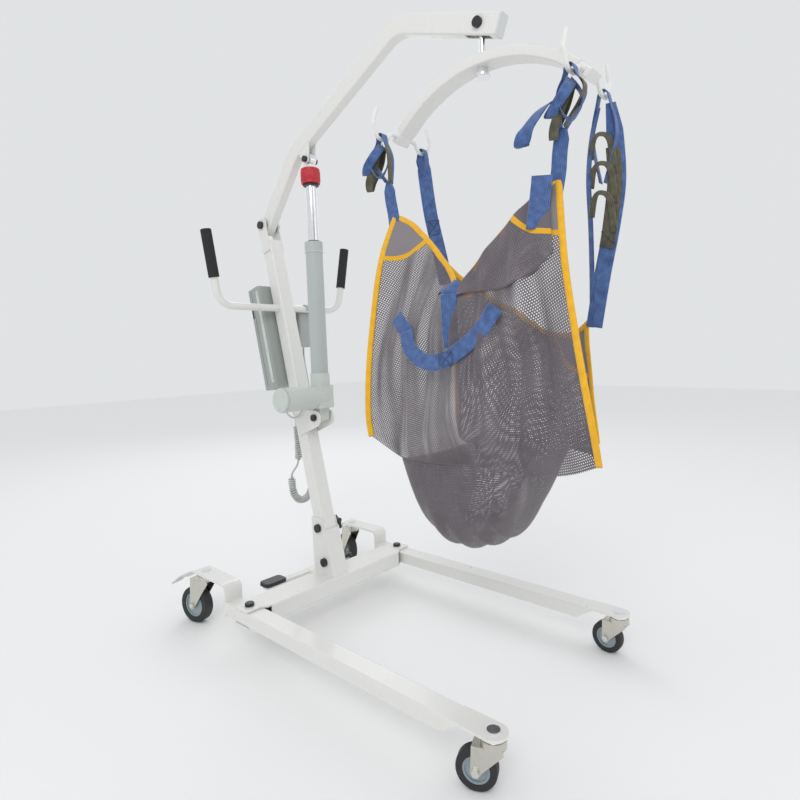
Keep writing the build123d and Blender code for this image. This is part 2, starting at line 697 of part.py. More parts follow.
arc_middle = (hang_bolt.Y, bar_z - spreader_arc)
half_sweep = degrees(atan2(spreader_half, sqrt(spreader_arc ** 2 - spreader_half ** 2)))
with BuildPart() as spreader_bar:
    for inset, mode in ((0, Mode.ADD), (spreader_wall, Mode.SUBTRACT)):
        width = spreader_width - 2 * inset
        outer = spreader_arc + spreader_height / 2 - inset
        inner = spreader_arc - spreader_height / 2 + inset
        with BuildSketch(Plane.YZ.offset(-width / 2)):
            with BuildLine():
                top = CenterArc(arc_middle, outer, 90 - half_sweep, 2 * half_sweep)
                low = CenterArc(arc_middle, inner, 90 - half_sweep, 2 * half_sweep)
                Line(top @ 0, low @ 0)
                Line(top @ 1, low @ 1)
            make_face()
        extrude(amount=width, mode=mode)
        if inset == 0:
            long_edges = spreader_bar.edges().filter_by(GeomType.CIRCLE)
            fillet(long_edges, 4)
    # seat for the swivel boss
    with BuildSketch(Plane.XY.offset(bar_under - 20)):
        with Locations((0, hang_bolt.Y)):
            Circle(boss_d / 2)
    extrude(amount=spreader_height + 30, mode=Mode.SUBTRACT)
spreader_bar.part.label = "spreader_bar"
export_step(spreader_bar.part, "parts/spreader_bar.step")

with BuildPart() as spreader_boss:
    with BuildSketch(Plane.XY.offset(bar_under - 13.5)):
        with Locations((0, hang_bolt.Y)):
            Circle(boss_d / 2)
            Circle(hanger_d / 2 + running, mode=Mode.SUBTRACT)
    extrude(amount=spreader_height + 13.5 + 3)
spreader_boss.part.label = "spreader_boss"
export_step(spreader_boss.part, "parts/spreader_boss.step")

# solid end blocks, and the two hooks bent out of each
end_turn = radians(half_sweep)
hook_drop = 22
hook_rise = 50
hook_bottom_x = 76
block_ends = []
block_x = (spreader_width - 3) / 2
with BuildPart() as spreader_hooks:
    for way in (-1, 1):
        end = Vector(0, arc_middle[0] + way * spreader_arc * sin(end_turn),
                     arc_middle[1] + spreader_arc * cos(end_turn))
        out = Vector(0, way * cos(end_turn), -sin(end_turn))
        centre = end + out * (block_run / 2)
        block_ends.append(centre)
        with BuildSketch(Plane(origin=end, x_dir=(1, 0, 0), z_dir=out)):
            RectangleRounded(2 * block_x, spreader_height - 3, 4)
        extrude(amount=block_run)
        for side in (-1, 1):
            with BuildLine() as hook_path:
                FilletPolyline((side * (block_x - 6), centre.Y, centre.Z), (side * 44, centre.Y, centre.Z),
                               (side * (hook_bottom_x - 16), centre.Y, centre.Z - hook_drop),
                               (side * (hook_bottom_x + 16), centre.Y, centre.Z - hook_drop),
                               (side * (hook_bottom_x + 30), centre.Y, centre.Z + 14),
                               (side * (hook_bottom_x + 16), centre.Y, centre.Z + hook_rise), radius=15)
            with BuildSketch(Plane(origin=hook_path.line @ 0, z_dir=hook_path.line % 0)):
                Circle(hook_d / 2)
            sweep()
spreader_hooks.part.label = "spreader_hooks"
export_step(spreader_hooks.part, "parts/spreader_hooks.step")

# ---------------------------------------------------------------- actuator
actuator_vector = upper_pin - actuator_pin
actuator_run = actuator_vector.length
actuator_plane = Plane(origin=actuator_pin, x_dir=(1, 0, 0), z_dir=actuator_vector)
axis_step = actuator_plane.z_dir
gear_low, gear_top = 27, 93
sleeve_top = 130
cap_run = 30
motor_run = 60            # lower pin to the motor's axis
motor_end = 147
eye_width = 36

with BuildPart() as actuator_bracket:
    for side in (-1, 1):
        with BuildSketch(Plane.YZ.offset(side * (mast_size / 2))):
            with Locations((actuator_pin.Y, actuator_pin.Z - 3)):
                Circle(24)
            with Locations(along_mast(2, actuator_z - mast_foot.Z - 52),
                           along_mast(2, actuator_z - mast_foot.Z + 12)):
                Circle(6)
            make_hull()
            with Locations(yz(actuator_pin)):
                Circle(pin_d / 2, mode=Mode.SUBTRACT)
        extrude(amount=side * 5)
actuator_bracket.part.label = "actuator_bracket"
export_step(actuator_bracket.part, "parts/actuator_bracket.step")

with BuildPart() as actuator_pin_bolt:
    reach = mast_size / 2 + 5
    with BuildSketch(Plane.YZ.offset(-reach)):
        with Locations(yz(actuator_pin)):
            Circle(pin_d / 2)
    extrude(amount=2 * reach)
    for side in (-1, 1):
        with BuildSketch(Plane.YZ.offset(side * reach)):
            with Locations(yz(actuator_pin)):
                Circle(10)
        extrude(amount=side * bolt_cap)
actuator_pin_bolt.part.label = "actuator_pin_bolt"
export_step(actuator_pin_bolt.part, "parts/actuator_pin_bolt.step")

with BuildPart() as actuator_housing:
    with BuildSketch(actuator_plane.offset(gear_low)):
        RectangleRounded(54, 62, 9)
    extrude(amount=gear_top - gear_low)
    with BuildSketch(actuator_plane.offset(gear_top)):
        Circle(tube_d / 2 + 3)
    extrude(amount=sleeve_top - gear_top)
    # motor can across the gearbox
    with BuildSketch(Plane(origin=actuator_pin + axis_step * motor_run, x_dir=(0, 1, 0), z_dir=(-1, 0, 0))):
        Circle(motor_d / 2)
    extrude(amount=motor_end)
    fillet(actuator_housing.edges().group_by(Axis.X)[0], 5)
    # rear eye on the lower pin
    with BuildSketch(Plane.YZ.offset(-eye_width / 2)):
        with Locations(yz(actuator_pin)):
            Circle(14)
        with Locations(yz(actuator_pin + axis_step * 16)):
            Rectangle(28, 32)
    extrude(amount=eye_width)
    with BuildSketch(Plane.YZ.offset(-eye_width)):
        with Locations(yz(actuator_pin)):
            Circle(pin_d / 2 + running)
    extrude(amount=2 * eye_width, mode=Mode.SUBTRACT)
    with BuildSketch(actuator_plane.offset(gear_top - 20)):
        Circle(tube_d / 2)
    extrude(amount=sleeve_top, mode=Mode.SUBTRACT)
actuator_housing.part.label = "actuator_housing"
export_step(actuator_housing.part, "parts/actuator_housing.step")

with BuildPart() as actuator_tube:
    with BuildSketch(actuator_plane.offset(gear_top - 20)):
        Circle(tube_d / 2)
    extrude(amount=tube_run - gear_top + 20)
    with BuildSketch(actuator_plane.offset(tube_run - cap_run)):
        Circle(tube_d / 2 + 1.5)
    extrude(amount=cap_run)
    with BuildSketch(actuator_plane.offset(gear_top - 15)):
        Circle(tube_d / 2 - 3)
    extrude(amount=tube_run - cap_run - gear_top + 15, mode=Mode.SUBTRACT)
    with BuildSketch(actuator_plane.offset(gear_top)):
        Circle(rod_d / 2 + running)
    extrude(amount=tube_run, mode=Mode.SUBTRACT)
actuator_tube.part.label = "actuator_tube"
export_step(actuator_tube.part, "parts/actuator_tube.step")

# the rod ends in a flat eye, narrow enough to swing between the bracket's plates
eye_r = pin_d / 2 + open_gap + 6
neck = 24                 # from the eye's middle down to the round rod
rod_axis = actuator_plane.z_dir
with BuildPart() as actuator_rod:
    with BuildSketch(actuator_plane.offset(180)):
        Circle(rod_d / 2)
    extrude(amount=actuator_run - 180 - neck)
    with BuildSketch(Plane.YZ.offset(-bracket_gap / 2 + 0.6)):
        with BuildLine():
            Polyline(yz(upper_pin - rod_axis * (neck + 2) + Vector(0, 13, 0)),
                     yz(upper_pin + Vector(0, 13, 0)),
                     yz(upper_pin - Vector(0, 13, 0)),
                     yz(upper_pin - rod_axis * (neck + 2) - Vector(0, 13, 0)), close=True)
        make_face()
        with Locations(yz(upper_pin)):
            Circle(eye_r)
    extrude(amount=bracket_gap - 1.2)
    with BuildSketch(Plane.YZ.offset(-30)):
        with Locations(yz(upper_pin)):
            Circle(pin_d / 2 + open_gap)
    extrude(amount=60, mode=Mode.SUBTRACT)
    # screw bore up the middle of the rod
    with BuildSketch(actuator_plane.offset(179)):
        Circle(9)
    extrude(amount=actuator_run - 179 - 60, mode=Mode.SUBTRACT)
actuator_rod.part.label = "actuator_rod"
export_step(actuator_rod.part, "parts/actuator_rod.step")

with BuildPart() as release_collar:
    with BuildSketch(actuator_plane.offset(actuator_run - neck - 3 - collar_run)):
        Circle(collar_d / 2)
        Circle(rod_d / 2 + running, mode=Mode.SUBTRACT)
    extrude(amount=collar_run)
    fillet(release_collar.edges().filter_by(GeomType.CIRCLE).group_by(SortBy.RADIUS)[-1], 3)
release_collar.part.label = "release_collar"
export_step(release_collar.part, "parts/release_collar.step")

# ---------------------------------------------------------------- control unit and battery
unit_width = 124
unit_depth = 60
unit_low, unit_top = 575, 900
unit_gap = 7
unit_wall = 3
unit_y = mast_size / 2 + unit_gap + unit_depth / 2
unit_plane = Plane(origin=mast_foot + mast_plane.y_dir * unit_y, x_dir=(1, 0, 0), z_dir=mast_vector)
with BuildPart() as control_unit:
    with BuildSketch(unit_plane.offset(unit_low)):
        RectangleRounded(unit_width, unit_depth, 8)
    extrude(amount=unit_top - unit_low)
    with BuildSketch(unit_plane.offset(unit_low + unit_wall)):
        RectangleRounded(unit_width - 2 * unit_wall, unit_depth - 2 * unit_wall, 5)
    extrude(amount=unit_top - unit_low - 2 * unit_wall, mode=Mode.SUBTRACT)
    # mounting rail against the mast
    with BuildSketch(unit_plane.offset(unit_low + 12)):
        with Locations((0, -unit_depth / 2 - unit_gap / 2)):
            Rectangle(30, unit_gap)
    extrude(amount=unit_top - unit_low - 20)
    # the stop button's seat in the back
    stop_seat = unit_plane.origin + unit_plane.y_dir * (unit_depth / 2) + unit_plane.z_dir * (unit_top - 60)
    with BuildSketch(Plane(origin=stop_seat, x_dir=(1, 0, 0), z_dir=unit_plane.y_dir)):
        Circle(11 + running)
    extrude(amount=-10, mode=Mode.SUBTRACT)
control_unit.part.label = "control_unit"
export_step(control_unit.part, "parts/control_unit.step")

with BuildPart() as battery_pack:
    with BuildSketch(unit_plane.offset(unit_low + 90)):
        with Locations((0, -unit_wall)):
            RectangleRounded(unit_width - 2 * unit_wall - 8, unit_depth - 2 * unit_wall - 12, 4)
    extrude(amount=150)
battery_pack.part.label = "battery_pack"
export_step(battery_pack.part, "parts/battery_pack.step")

with BuildPart() as stop_button:
    with BuildSketch(Plane(origin=stop_seat, x_dir=(1, 0, 0), z_dir=unit_plane.y_dir).offset(-5)):
        Circle(11)
    extrude(amount=8.5)
    with BuildSketch(Plane(origin=stop_seat, x_dir=(1, 0, 0), z_dir=unit_plane.y_dir).offset(3.5)):
        Circle(15)
    extrude(amount=9)
stop_button.part.label = "stop_button"
export_step(stop_button.part, "parts/stop_button.step")

# ---------------------------------------------------------------- handset on the handlebar
handset_x = 89
handset_width, handset_depth = 46, 24
handset_low = 776
down_level, up_level = handset_low + 62, handset_low + 92
handset_high = handle_z + 6
handset_front = handle_y + handle_d / 2 + 1
handset_mid = handset_front + handset_depth / 2
with BuildPart() as handset:
    with BuildSketch(Plane.XY.offset(handset_low)):
        with Locations((handset_x, handset_mid)):
            RectangleRounded(handset_width, handset_depth, 8)
    extrude(amount=handset_high - handset_low)
    fillet(handset.edges().group_by(Axis.Z)[0], 4)
    # hook over the tube
    hook_in = handle_d / 2 + 1
    with BuildSketch(Plane.YZ.offset(handset_x - 11)):
        with Locations((handle_y, handle_z)):
            Circle(hook_in + 3)
        with Locations((handle_y + (hook_in + 3) / 2, handle_z - 6)):
            Rectangle(hook_in + 3, 12)
        with Locations((handle_y, handle_z)):
            Circle(hook_in, mode=Mode.SUBTRACT)
        with Locations((handle_y, handle_z - 15)):
            Rectangle(2 * hook_in, 30, mode=Mode.SUBTRACT)
        with Locations((handle_y - hook_in - 2, handle_z - 20)):
            Rectangle(8, 30, mode=Mode.SUBTRACT)
    extrude(amount=22)
    # button seats in the face toward the operator
    button_face = handset_front + handset_depth
    with Locations((handset_x, button_face, down_level), (handset_x, button_face, up_level)):
        Box(20 + 2 * running, 8, 16 + 2 * running, mode=Mode.SUBTRACT)
handset.part.label = "handset"
export_step(handset.part, "parts/handset.step")

for name, level in (("down_button", down_level), ("up_button", up_level)):
    with BuildPart() as button:
        with Locations((handset_x, handset_front + handset_depth - 2, level)):
            Box(20, 4, 16, align=(Align.CENTER, Align.MIN, Align.CENTER))
    button.part.label = name
    export_step(button.part, f"parts/{name}.step")

# ---------------------------------------------------------------- sling
# two side walls lean in to the corners that hang from the straps; a pouch joins them underneath
sling_top = 1095          # height of the two near corners
sling_far_top = 1015      # the far corners hang on longer straps
sling_rear_y = pivot_y - 350
sling_front_y = pivot_y - 800
sling_waist = 560         # the walls are upright below this height
corner_x = 90             # the walls' outer face at the near corners
wall_outline = ((sling_rear_y, sling_top), (sling_rear_y - 8, 566), (sling_rear_y - 55, 510),
                (sling_rear_y - 90, 350), (sling_rear_y - 200, 310), (sling_front_y + 130, 370),
                (sling_front_y + 45, 455), (sling_front_y + 25, 520), (sling_front_y - 98, 546),
                (sling_front_y - 98, 640), (sling_front_y - 50, 813), (sling_front_y, sling_top),
                (sling_front_y + 85, 1000), (sling_front_y + 215, 868), (sling_rear_y - 110, 1000))
pouch = ((sling_rear_y - 55, sling_waist), (sling_rear_y - 90, 370), (sling_rear_y - 205, 315),
         (sling_front_y + 130, 375), (sling_front_y + 45, 470), (sling_front_y + 30, sling_waist))
with BuildPart() as sling:
    with BuildSketch(Plane.YZ.offset(-sling_half)):
        Polygon(*wall_outline, align=None)
    extrude(amount=2 * sling_half)
    with BuildSketch(Plane.XZ.offset(-(sling_rear_y + 100))):
        for side, top in ((-1, sling_top), (1, sling_far_top)):
            with BuildLine():
                Polyline((side * sling_half, 300), (side * sling_half, sling_waist), (side * corner_x, top),
                         (side * (corner_x - sling_thick), top),
                         (side * (sling_half - sling_thick), sling_waist),
                         (side * (sling_half - sling_thick), 300), close=True)
            make_face()
    extrude(amount=800, mode=Mode.INTERSECT)
    # the pouch's bottom, from one wall to the other
    with BuildSketch(Plane.YZ.offset(-sling_half)):
        with BuildLine():
            FilletPolyline(*pouch, radius=45)
            offset(amount=sling_thick / 2, kind=Kind.INTERSECTION, side=Side.BOTH)
        make_face()
    extrude(amount=2 * sling_half)
sling.part.label = "sling"
export_step(sling.part, "parts/sling.step")

# four webbing straps, each looped over a hook
loop_width = 12
strap_width = 40
strap_thick = 5
with BuildPart() as sling_straps:
    for centre, foot_y in ((block_ends[0], sling_front_y), (block_ends[1], sling_rear_y)):
        rod = Vector(0, centre.Y, centre.Z - hook_drop)
        for side, foot_z in ((-1, sling_top + 1), (1, sling_far_top + 1)):
            neck_z = rod.Z - 45
            with BuildSketch(Plane.YZ.offset(side * hook_bottom_x - loop_width / 2)):
                with Locations(yz(rod)):
                    Circle(hook_d / 2 + 4)
                with Locations((rod.Y, neck_z)):
                    Circle(strap_thick / 2)
                make_hull()
                with Locations(yz(rod)):
                    Circle(hook_d / 2 + 1, mode=Mode.SUBTRACT)
                with Locations((rod.Y, rod.Z - 12)):
                    Rectangle(8, 14, mode=Mode.SUBTRACT)
            extrude(amount=loop_width)
            with BuildSketch(Plane.YZ.offset(side * hook_bottom_x - strap_width / 2)):
                with BuildLine():
                    Polyline((rod.Y - strap_thick / 2, neck_z + 10), (rod.Y + strap_thick / 2, neck_z + 10),
                             (foot_y + strap_thick / 2, foot_z), (foot_y - strap_thick / 2, foot_z),
                             close=True)
                make_face()
            extrude(amount=strap_width)
sling_straps.part.label = "sling_straps"
export_step(sling_straps.part, "parts/sling_straps.step")

# ---------------------------------------------------------------- handset cord
# routes are chosen point by point; y is measured from the leg pivot line
cord_d = 6
coil_d = 24
handset_exit = (handset_x, handset_mid - pivot_y, handset_low - 0.3)
unit_exit_point = unit_plane.origin + unit_plane.z_dir * unit_low + Vector(-30, 0, 0)
unit_exit = (unit_exit_point.X, unit_exit_point.Y - pivot_y, unit_exit_point.Z - 4)
lead_down = (handset_exit, (89, 227, 746), (92, 222, 706), (96, 214, 660), (97, 207, 614), (97, 201, 572),
             (96, 197, 540))
coil_outer = ((96, 197, 540), (95, 192, 495), (92, 185, 442), (84, 176, 388), (70, 168, 338),
              (44, 160, 300), (12, 158, 293), (-13, 158, 315), (-19, 160, 346), (-17, 163, 374))
lead_link = ((-17, 163, 374), (-14, 164, 386), (-4, 163, 396), (4, 160, 408), (7, 159, 422))
coil_inner = ((7, 159, 422), (9, 160, 452), (10, 163, 492), (9, 167, 532))
lead_up = ((9, 167, 532), (8, 169, 552), (2, 173, 580), (-12, 181, 608), (-25, 190, 632), unit_exit)


def corner_radii(points):
    """Arc radius at each inner point: 0.45 of the shorter run over the tangent of half the turn."""
    radii = []
    for before, here, after in zip(points, points[1:], points[2:]):
        step_in, step_out = here - before, after - here
        half_turn = radians(step_in.get_angle(step_out)) / 2
        radii.append(0.45 * min(step_in.length, step_out.length) * cos(half_turn) / sin(half_turn))
    return radii


def cord_solid(route, diameter):
    """Round tube along straight runs joined by tangent arcs."""
    points = [Vector(x, y + pivot_y, z) for x, y, z in route]
    radii = corner_radii(points)
    with BuildPart() as cord:
        with BuildLine() as cord_path:
            FilletPolyline(*points, radius=radii)
        with BuildSketch(Plane(origin=cord_path.line @ 0, z_dir=cord_path.line % 0)):
            Circle(diameter / 2)
        sweep()
    length = sum(edge.length for edge in cord_path.edges())
    print("cord radii", [round(r) for r in radii], "length", round(length),
          "volume over section x length", round(cord.part.volume / (pi * diameter ** 2 / 4 * length), 4))
    return cord.part


# motor cable, from behind the motor round the mast to the control unit's underside
cable_d = 5
cable_exit = unit_plane.origin + unit_plane.z_dir * unit_low + Vector(-46, -14, 0)
cable_end = (cable_exit.X, cable_exit.Y - pivot_y, cable_exit.Z - 4)
cable_route = ((-34, 71, 612), (-34, 77, 590), (-36, 91, 571), (-38, 113, 561), (-39, 136, 566),
               (-41, 156, 583), (-44, 173, 614), cable_end)
motor_cable = cord_solid(cable_route, cable_d)
motor_cable.label = "motor_cable"
export_step(motor_cable, "parts/motor_cable.step")

with BuildPart() as handset_cord:
    for route in (lead_down, lead_link, lead_up):
        add(cord_solid(route, cord_d))
handset_cord.part.label = "handset_cord"
export_step(handset_cord.part, "parts/handset_cord.step")

with BuildPart() as handset_coil:
    for route in (coil_outer, coil_inner):
        add(cord_solid(route, coil_d))
handset_coil.part.label = "handset_coil"
export_step(handset_coil.part, "parts/handset_coil.step")
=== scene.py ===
import json
import bpy
import numpy as np
from mathutils import Matrix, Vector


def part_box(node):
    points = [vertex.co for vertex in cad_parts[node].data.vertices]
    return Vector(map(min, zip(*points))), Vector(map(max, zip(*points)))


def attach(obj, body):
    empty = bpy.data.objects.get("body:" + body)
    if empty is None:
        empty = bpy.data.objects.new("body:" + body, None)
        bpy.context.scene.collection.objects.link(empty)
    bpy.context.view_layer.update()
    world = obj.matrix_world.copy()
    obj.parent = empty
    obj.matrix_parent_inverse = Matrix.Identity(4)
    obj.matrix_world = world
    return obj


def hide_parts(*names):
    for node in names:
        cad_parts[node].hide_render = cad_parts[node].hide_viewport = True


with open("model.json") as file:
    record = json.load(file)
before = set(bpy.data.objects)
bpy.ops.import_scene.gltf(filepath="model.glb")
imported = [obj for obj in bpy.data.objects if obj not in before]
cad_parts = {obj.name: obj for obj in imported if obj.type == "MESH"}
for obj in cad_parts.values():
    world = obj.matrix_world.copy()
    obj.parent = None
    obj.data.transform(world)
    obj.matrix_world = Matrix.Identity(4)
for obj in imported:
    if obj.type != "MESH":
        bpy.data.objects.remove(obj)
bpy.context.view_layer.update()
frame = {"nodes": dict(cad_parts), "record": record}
nodes = frame["nodes"]

# ---------------------------------------------------------------- camera
# It stands on the hoist's right side, a little ahead of it, and looks level from the height of the
# control unit.
yaw, pitch, roll = np.radians([-49.236, -0.640, -1.356])
camera_place = (-1.0753, -1.0184, 0.7636)
focal_length = 25.49                   # mm, on the default 36 mm sensor
shift = (-0.0287, -0.0568)
ahead = np.array([-np.sin(yaw) * np.cos(pitch), np.cos(yaw) * np.cos(pitch), np.sin(pitch)])
level = np.array([np.cos(yaw), np.sin(yaw), 0.0])
upright = np.cross(level, ahead)
aside = np.cos(roll) * level + np.sin(roll) * upright
above = -np.sin(roll) * level + np.cos(roll) * upright
camera_data = bpy.data.cameras.new("camera")
camera_data.lens = focal_length
camera_data.shift_x, camera_data.shift_y = shift
camera = bpy.data.objects.new("camera", camera_data)
turn = np.column_stack([aside, above, -ahead])
camera.matrix_world = Matrix.Translation(camera_place) @ Matrix(turn.tolist()).to_4x4()
bpy.context.scene.collection.objects.link(camera)
bpy.context.scene.camera = camera


# ---------------------------------------------------------------- cord sheath
# Both cords have a grey polyurethane sheath. Its finish, and the functions that place a piece and build a
# material, are made here because the cords are the first pieces to need them.
def link(obj, body, material):
    """Places a finished object in the scene, on its body, with its material."""
    bpy.context.scene.collection.objects.link(obj)
    obj.data.materials.clear()
    obj.data.materials.append(material)
    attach(obj, body)
    return obj


class Shader:
    """A material under construction: add() makes a node and sets or links its inputs."""

    def __init__(self, tree):
        self.tree = tree

    def add(self, kind, inputs=(), **settings):
        node = self.tree.nodes.new(kind)
        for key, value in settings.items():
            setattr(node, key, value)
        for key, value in dict(inputs).items():
            if isinstance(value, bpy.types.NodeSocket):
                self.tree.links.new(value, node.inputs[key])
            else:
                node.inputs[key].default_value = value
        return node

    def math(self, operation, first, second=0.0):
        return self.add("ShaderNodeMath", {0: first, 1: second}, operation=operation).outputs[0]

    def mix(self, share, first, second):
        node = self.add("ShaderNodeMix", data_type="RGBA")
        for index, value in ((0, share), (6, first), (7, second)):
            if isinstance(value, bpy.types.NodeSocket):
                self.tree.links.new(value, node.inputs[index])
            else:
                node.inputs[index].default_value = value
        return node.outputs[2]

    def ramp(self, value, low, high):
        node = self.add("ShaderNodeMapRange", {"Value": value, "From Min": low, "From Max": high})
        return node.outputs["Result"]


def make_group(name, inputs, outputs):
    """An empty shader node group with float, colour or vector sockets; returns (tree, in, out, Shader)."""
    tree = bpy.data.node_groups.new(name, "ShaderNodeTree")
    for label, kind, value in inputs:
        socket = tree.interface.new_socket(label, in_out="INPUT", socket_type=kind)
        if value is not None:
            socket.default_value = value
    for label, kind in outputs:
        tree.interface.new_socket(label, in_out="OUTPUT", socket_type=kind)
    return tree, tree.nodes.new("NodeGroupInput"), tree.nodes.new("NodeGroupOutput"), Shader(tree)


FLOAT, COLOR = "NodeSocketFloat", "NodeSocketColor"

# The finish group: every moulded, painted or rubber skin varies a little in tone and gloss, has a fine grain,
# and is dulled in patches.
finish, gin, gout, g = make_group(
    "finish",
    [("Color", COLOR, (0.5, 0.5, 0.5, 1)), ("Worn", COLOR, (0.4, 0.4, 0.4, 1)), ("Roughness", FLOAT, 0.4),
     ("Grain", FLOAT, 900.0), ("Mottle", FLOAT, 0.5)],
    [("Color", COLOR), ("Roughness", FLOAT), ("Height", FLOAT)])
spot = g.add("ShaderNodeTexCoord").outputs["Object"]
broad = g.add("ShaderNodeTexNoise", {"Vector": spot, "Scale": 9.0, "Detail": 5.0}).outputs["Fac"]
fine = g.add("ShaderNodeTexNoise", {"Vector": spot, "Scale": gin.outputs["Grain"],
                                    "Detail": 2.0}).outputs["Fac"]
rubbed = g.add("ShaderNodeTexNoise", {"Vector": spot, "Scale": 55.0, "Detail": 6.0}).outputs["Fac"]
patch = g.math("MULTIPLY", g.ramp(rubbed, 0.56, 0.74), g.ramp(broad, 0.45, 0.7))
tone = g.mix(g.math("MULTIPLY", patch, gin.outputs["Mottle"]), gin.outputs["Color"], gin.outputs["Worn"])
g.tree.links.new(tone, gout.inputs["Color"])
g.tree.links.new(g.math("ADD", gin.outputs["Roughness"],
                        g.math("MULTIPLY", g.math("SUBTRACT", broad, 0.5), 0.22)),
                 gout.inputs["Roughness"])
g.tree.links.new(fine, gout.inputs["Height"])


def skin(name, color, worn, roughness, grain=900.0, mottle=0.5, bump=0.05, metallic=0.0, coat=0.0):
    """A painted, moulded or metal finish from the finish group."""
    material = bpy.data.materials.new(name)
    material.use_nodes = True
    shader = Shader(material.node_tree)
    surface = material.node_tree.nodes["Principled BSDF"]
    look = shader.add("ShaderNodeGroup", node_tree=finish)
    look.inputs["Color"].default_value = (*color, 1)
    look.inputs["Worn"].default_value = (*worn, 1)
    look.inputs["Roughness"].default_value = roughness
    look.inputs["Grain"].default_value = grain
    look.inputs["Mottle"].default_value = mottle
    raised = shader.add("ShaderNodeBump", {"Height": look.outputs["Height"], "Strength": bump,
                                           "Distance": 0.001})
    tree = material.node_tree
    tree.links.new(look.outputs["Color"], surface.inputs["Base Color"])
    tree.links.new(look.outputs["Roughness"], surface.inputs["Roughness"])
    tree.links.new(raised.outputs["Normal"], surface.inputs["Normal"])
    surface.inputs["Metallic"].default_value = metallic
    surface.inputs["Coat Weight"].default_value = coat
    surface.inputs["Coat Roughness"].default_value = 0.12
    return material


def curve_points(route, steps=8):
    """Points along the quadratic NURBS line whose control points are the route's."""
    data = nurbs("probe", route, 0.0, steps)
    probe = bpy.data.objects.new("probe", data)
    mesh = bpy.data.meshes.new_from_object(probe)
    points = np.array([v.co for v in mesh.vertices])
    bpy.data.objects.remove(probe)
    bpy.data.curves.remove(data)
    bpy.data.meshes.remove(mesh)
    return points


def nurbs(name, route, radius, steps=8):
    """Curve data: one open NURBS spline of order 3 that reaches its end points."""
    data = bpy.data.curves.new(name, "CURVE")
    data.dimensions = "3D"
    data.bevel_depth = radius
    data.bevel_resolution = 3
    data.resolution_u = steps
    data.use_fill_caps = True
    spline = data.splines.new("NURBS")
    spline.points.add(len(route) - 1)
    flat = np.column_stack([np.asarray(route, float), np.ones(len(route))])
    spline.points.foreach_set("co", flat.ravel())
    spline.order_u = 3
    spline.use_endpoint_u = True
    return data


def line_length(points):
    return float(np.linalg.norm(np.diff(points, axis=0), axis=1).sum())


# ---------------------------------------------------------------- handset cord
# One grey polyurethane cord, straight out of the control unit and the handset, wound into two curly stretches
# that hang in a loop behind the mast. Its points are the ones its solids follow.
pivot = 0.281                         # the leg pivots stand this far behind the origin
cord_skin = skin("cord_sheath", (0.50, 0.52, 0.50), (0.36, 0.37, 0.35), 0.42, 400, 0.4, 0.02)
cord_d = 0.006
turn_radius, turn_pitch = 0.0088, 0.0066
lead_down = [(89, 227, 775.7), (89, 227, 746), (92, 222, 706), (96, 214, 660), (97, 207, 614), (97, 201, 572),
             (96, 197, 540)]
coil_outer = [(96, 197, 540), (95, 192, 495), (92, 185, 442), (84, 176, 388), (70, 168, 338), (44, 160, 300),
              (12, 158, 293), (-13, 158, 315), (-19, 160, 346), (-17, 163, 374)]
lead_link = [(-17, 163, 374), (-14, 164, 386), (-4, 163, 396), (4, 160, 408), (7, 159, 422)]
coil_inner = [(7, 159, 422), (9, 160, 452), (10, 163, 492), (9, 167, 532)]
lead_up = [(9, 167, 532), (8, 169, 552), (2, 173, 580), (-12, 181, 608), (-25, 190, 632),
           (-30, 197.36, 646.6)]


def placed(route):
    """Route points in metres, measured from the line of the leg pivots."""
    return np.array(route, float) / 1000 + (0, pivot, 0)


def helix(route, radius, pitch, per_turn=12):
    """Turns of the given radius round the route's own smooth line, a pitch apart, shrinking to it at both
    ends."""
    line = curve_points(placed(route), 24)
    run = np.concatenate([[0], np.cumsum(np.linalg.norm(np.diff(line, axis=0), axis=1))])
    count = int(run[-1] / pitch) * per_turn
    at = np.linspace(0, run[-1], count)
    middle = np.column_stack([np.interp(at, run, line[:, i]) for i in range(3)])
    forward = np.gradient(middle, axis=0)
    forward /= np.linalg.norm(forward, axis=1)[:, None]
    side = np.cross(forward, (0.0, 1.0, 0.0))
    side /= np.linalg.norm(side, axis=1)[:, None]
    other = np.cross(forward, side)
    angle = np.arange(count) * 2 * np.pi / per_turn
    swell = radius * np.clip(np.minimum(np.arange(count), np.arange(count)[::-1]) / per_turn, 0.05, 1)
    wobble = 1 + 0.05 * np.sin(np.arange(count) * 0.11)
    return middle + (swell * wobble)[:, None] * (np.cos(angle)[:, None] * side + np.sin(angle)[:,
                                                                                               None] * other)


cord_line = np.concatenate([placed(lead_down)[:-1], helix(coil_outer, turn_radius, turn_pitch),
                            placed(lead_link)[1:-1],
                            helix(coil_inner, turn_radius, turn_pitch), placed(lead_up)[1:]])[::-1]
handset_cord = bpy.data.objects.new("handset_curly_cord",
                                    nurbs("handset_curly_cord", cord_line, cord_d / 2, 2))
handset_cord.data.bevel_resolution = 1
link(handset_cord, "root", cord_skin)
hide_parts("handset_cord", "handset_coil")
line_length(curve_points(cord_line, 2))

# ---------------------------------------------------------------- motor cable
# A thin round cable from behind the motor, slack round the side of the mast, up into the control unit.
cable_d = 0.005
cable_route = placed([(-34, 71, 612), (-34, 77, 590), (-36, 91, 571), (-38, 113, 561), (-39, 136, 566),
                      (-41, 156, 583), (-44, 173, 614), (-46, 183.36, 646.6)])
motor_cable = bpy.data.objects.new("motor_lead", nurbs("motor_lead", cable_route, cable_d / 2, 10))
link(motor_cable, "root", cord_skin)
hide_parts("motor_cable")
line_length(curve_points(cable_route))

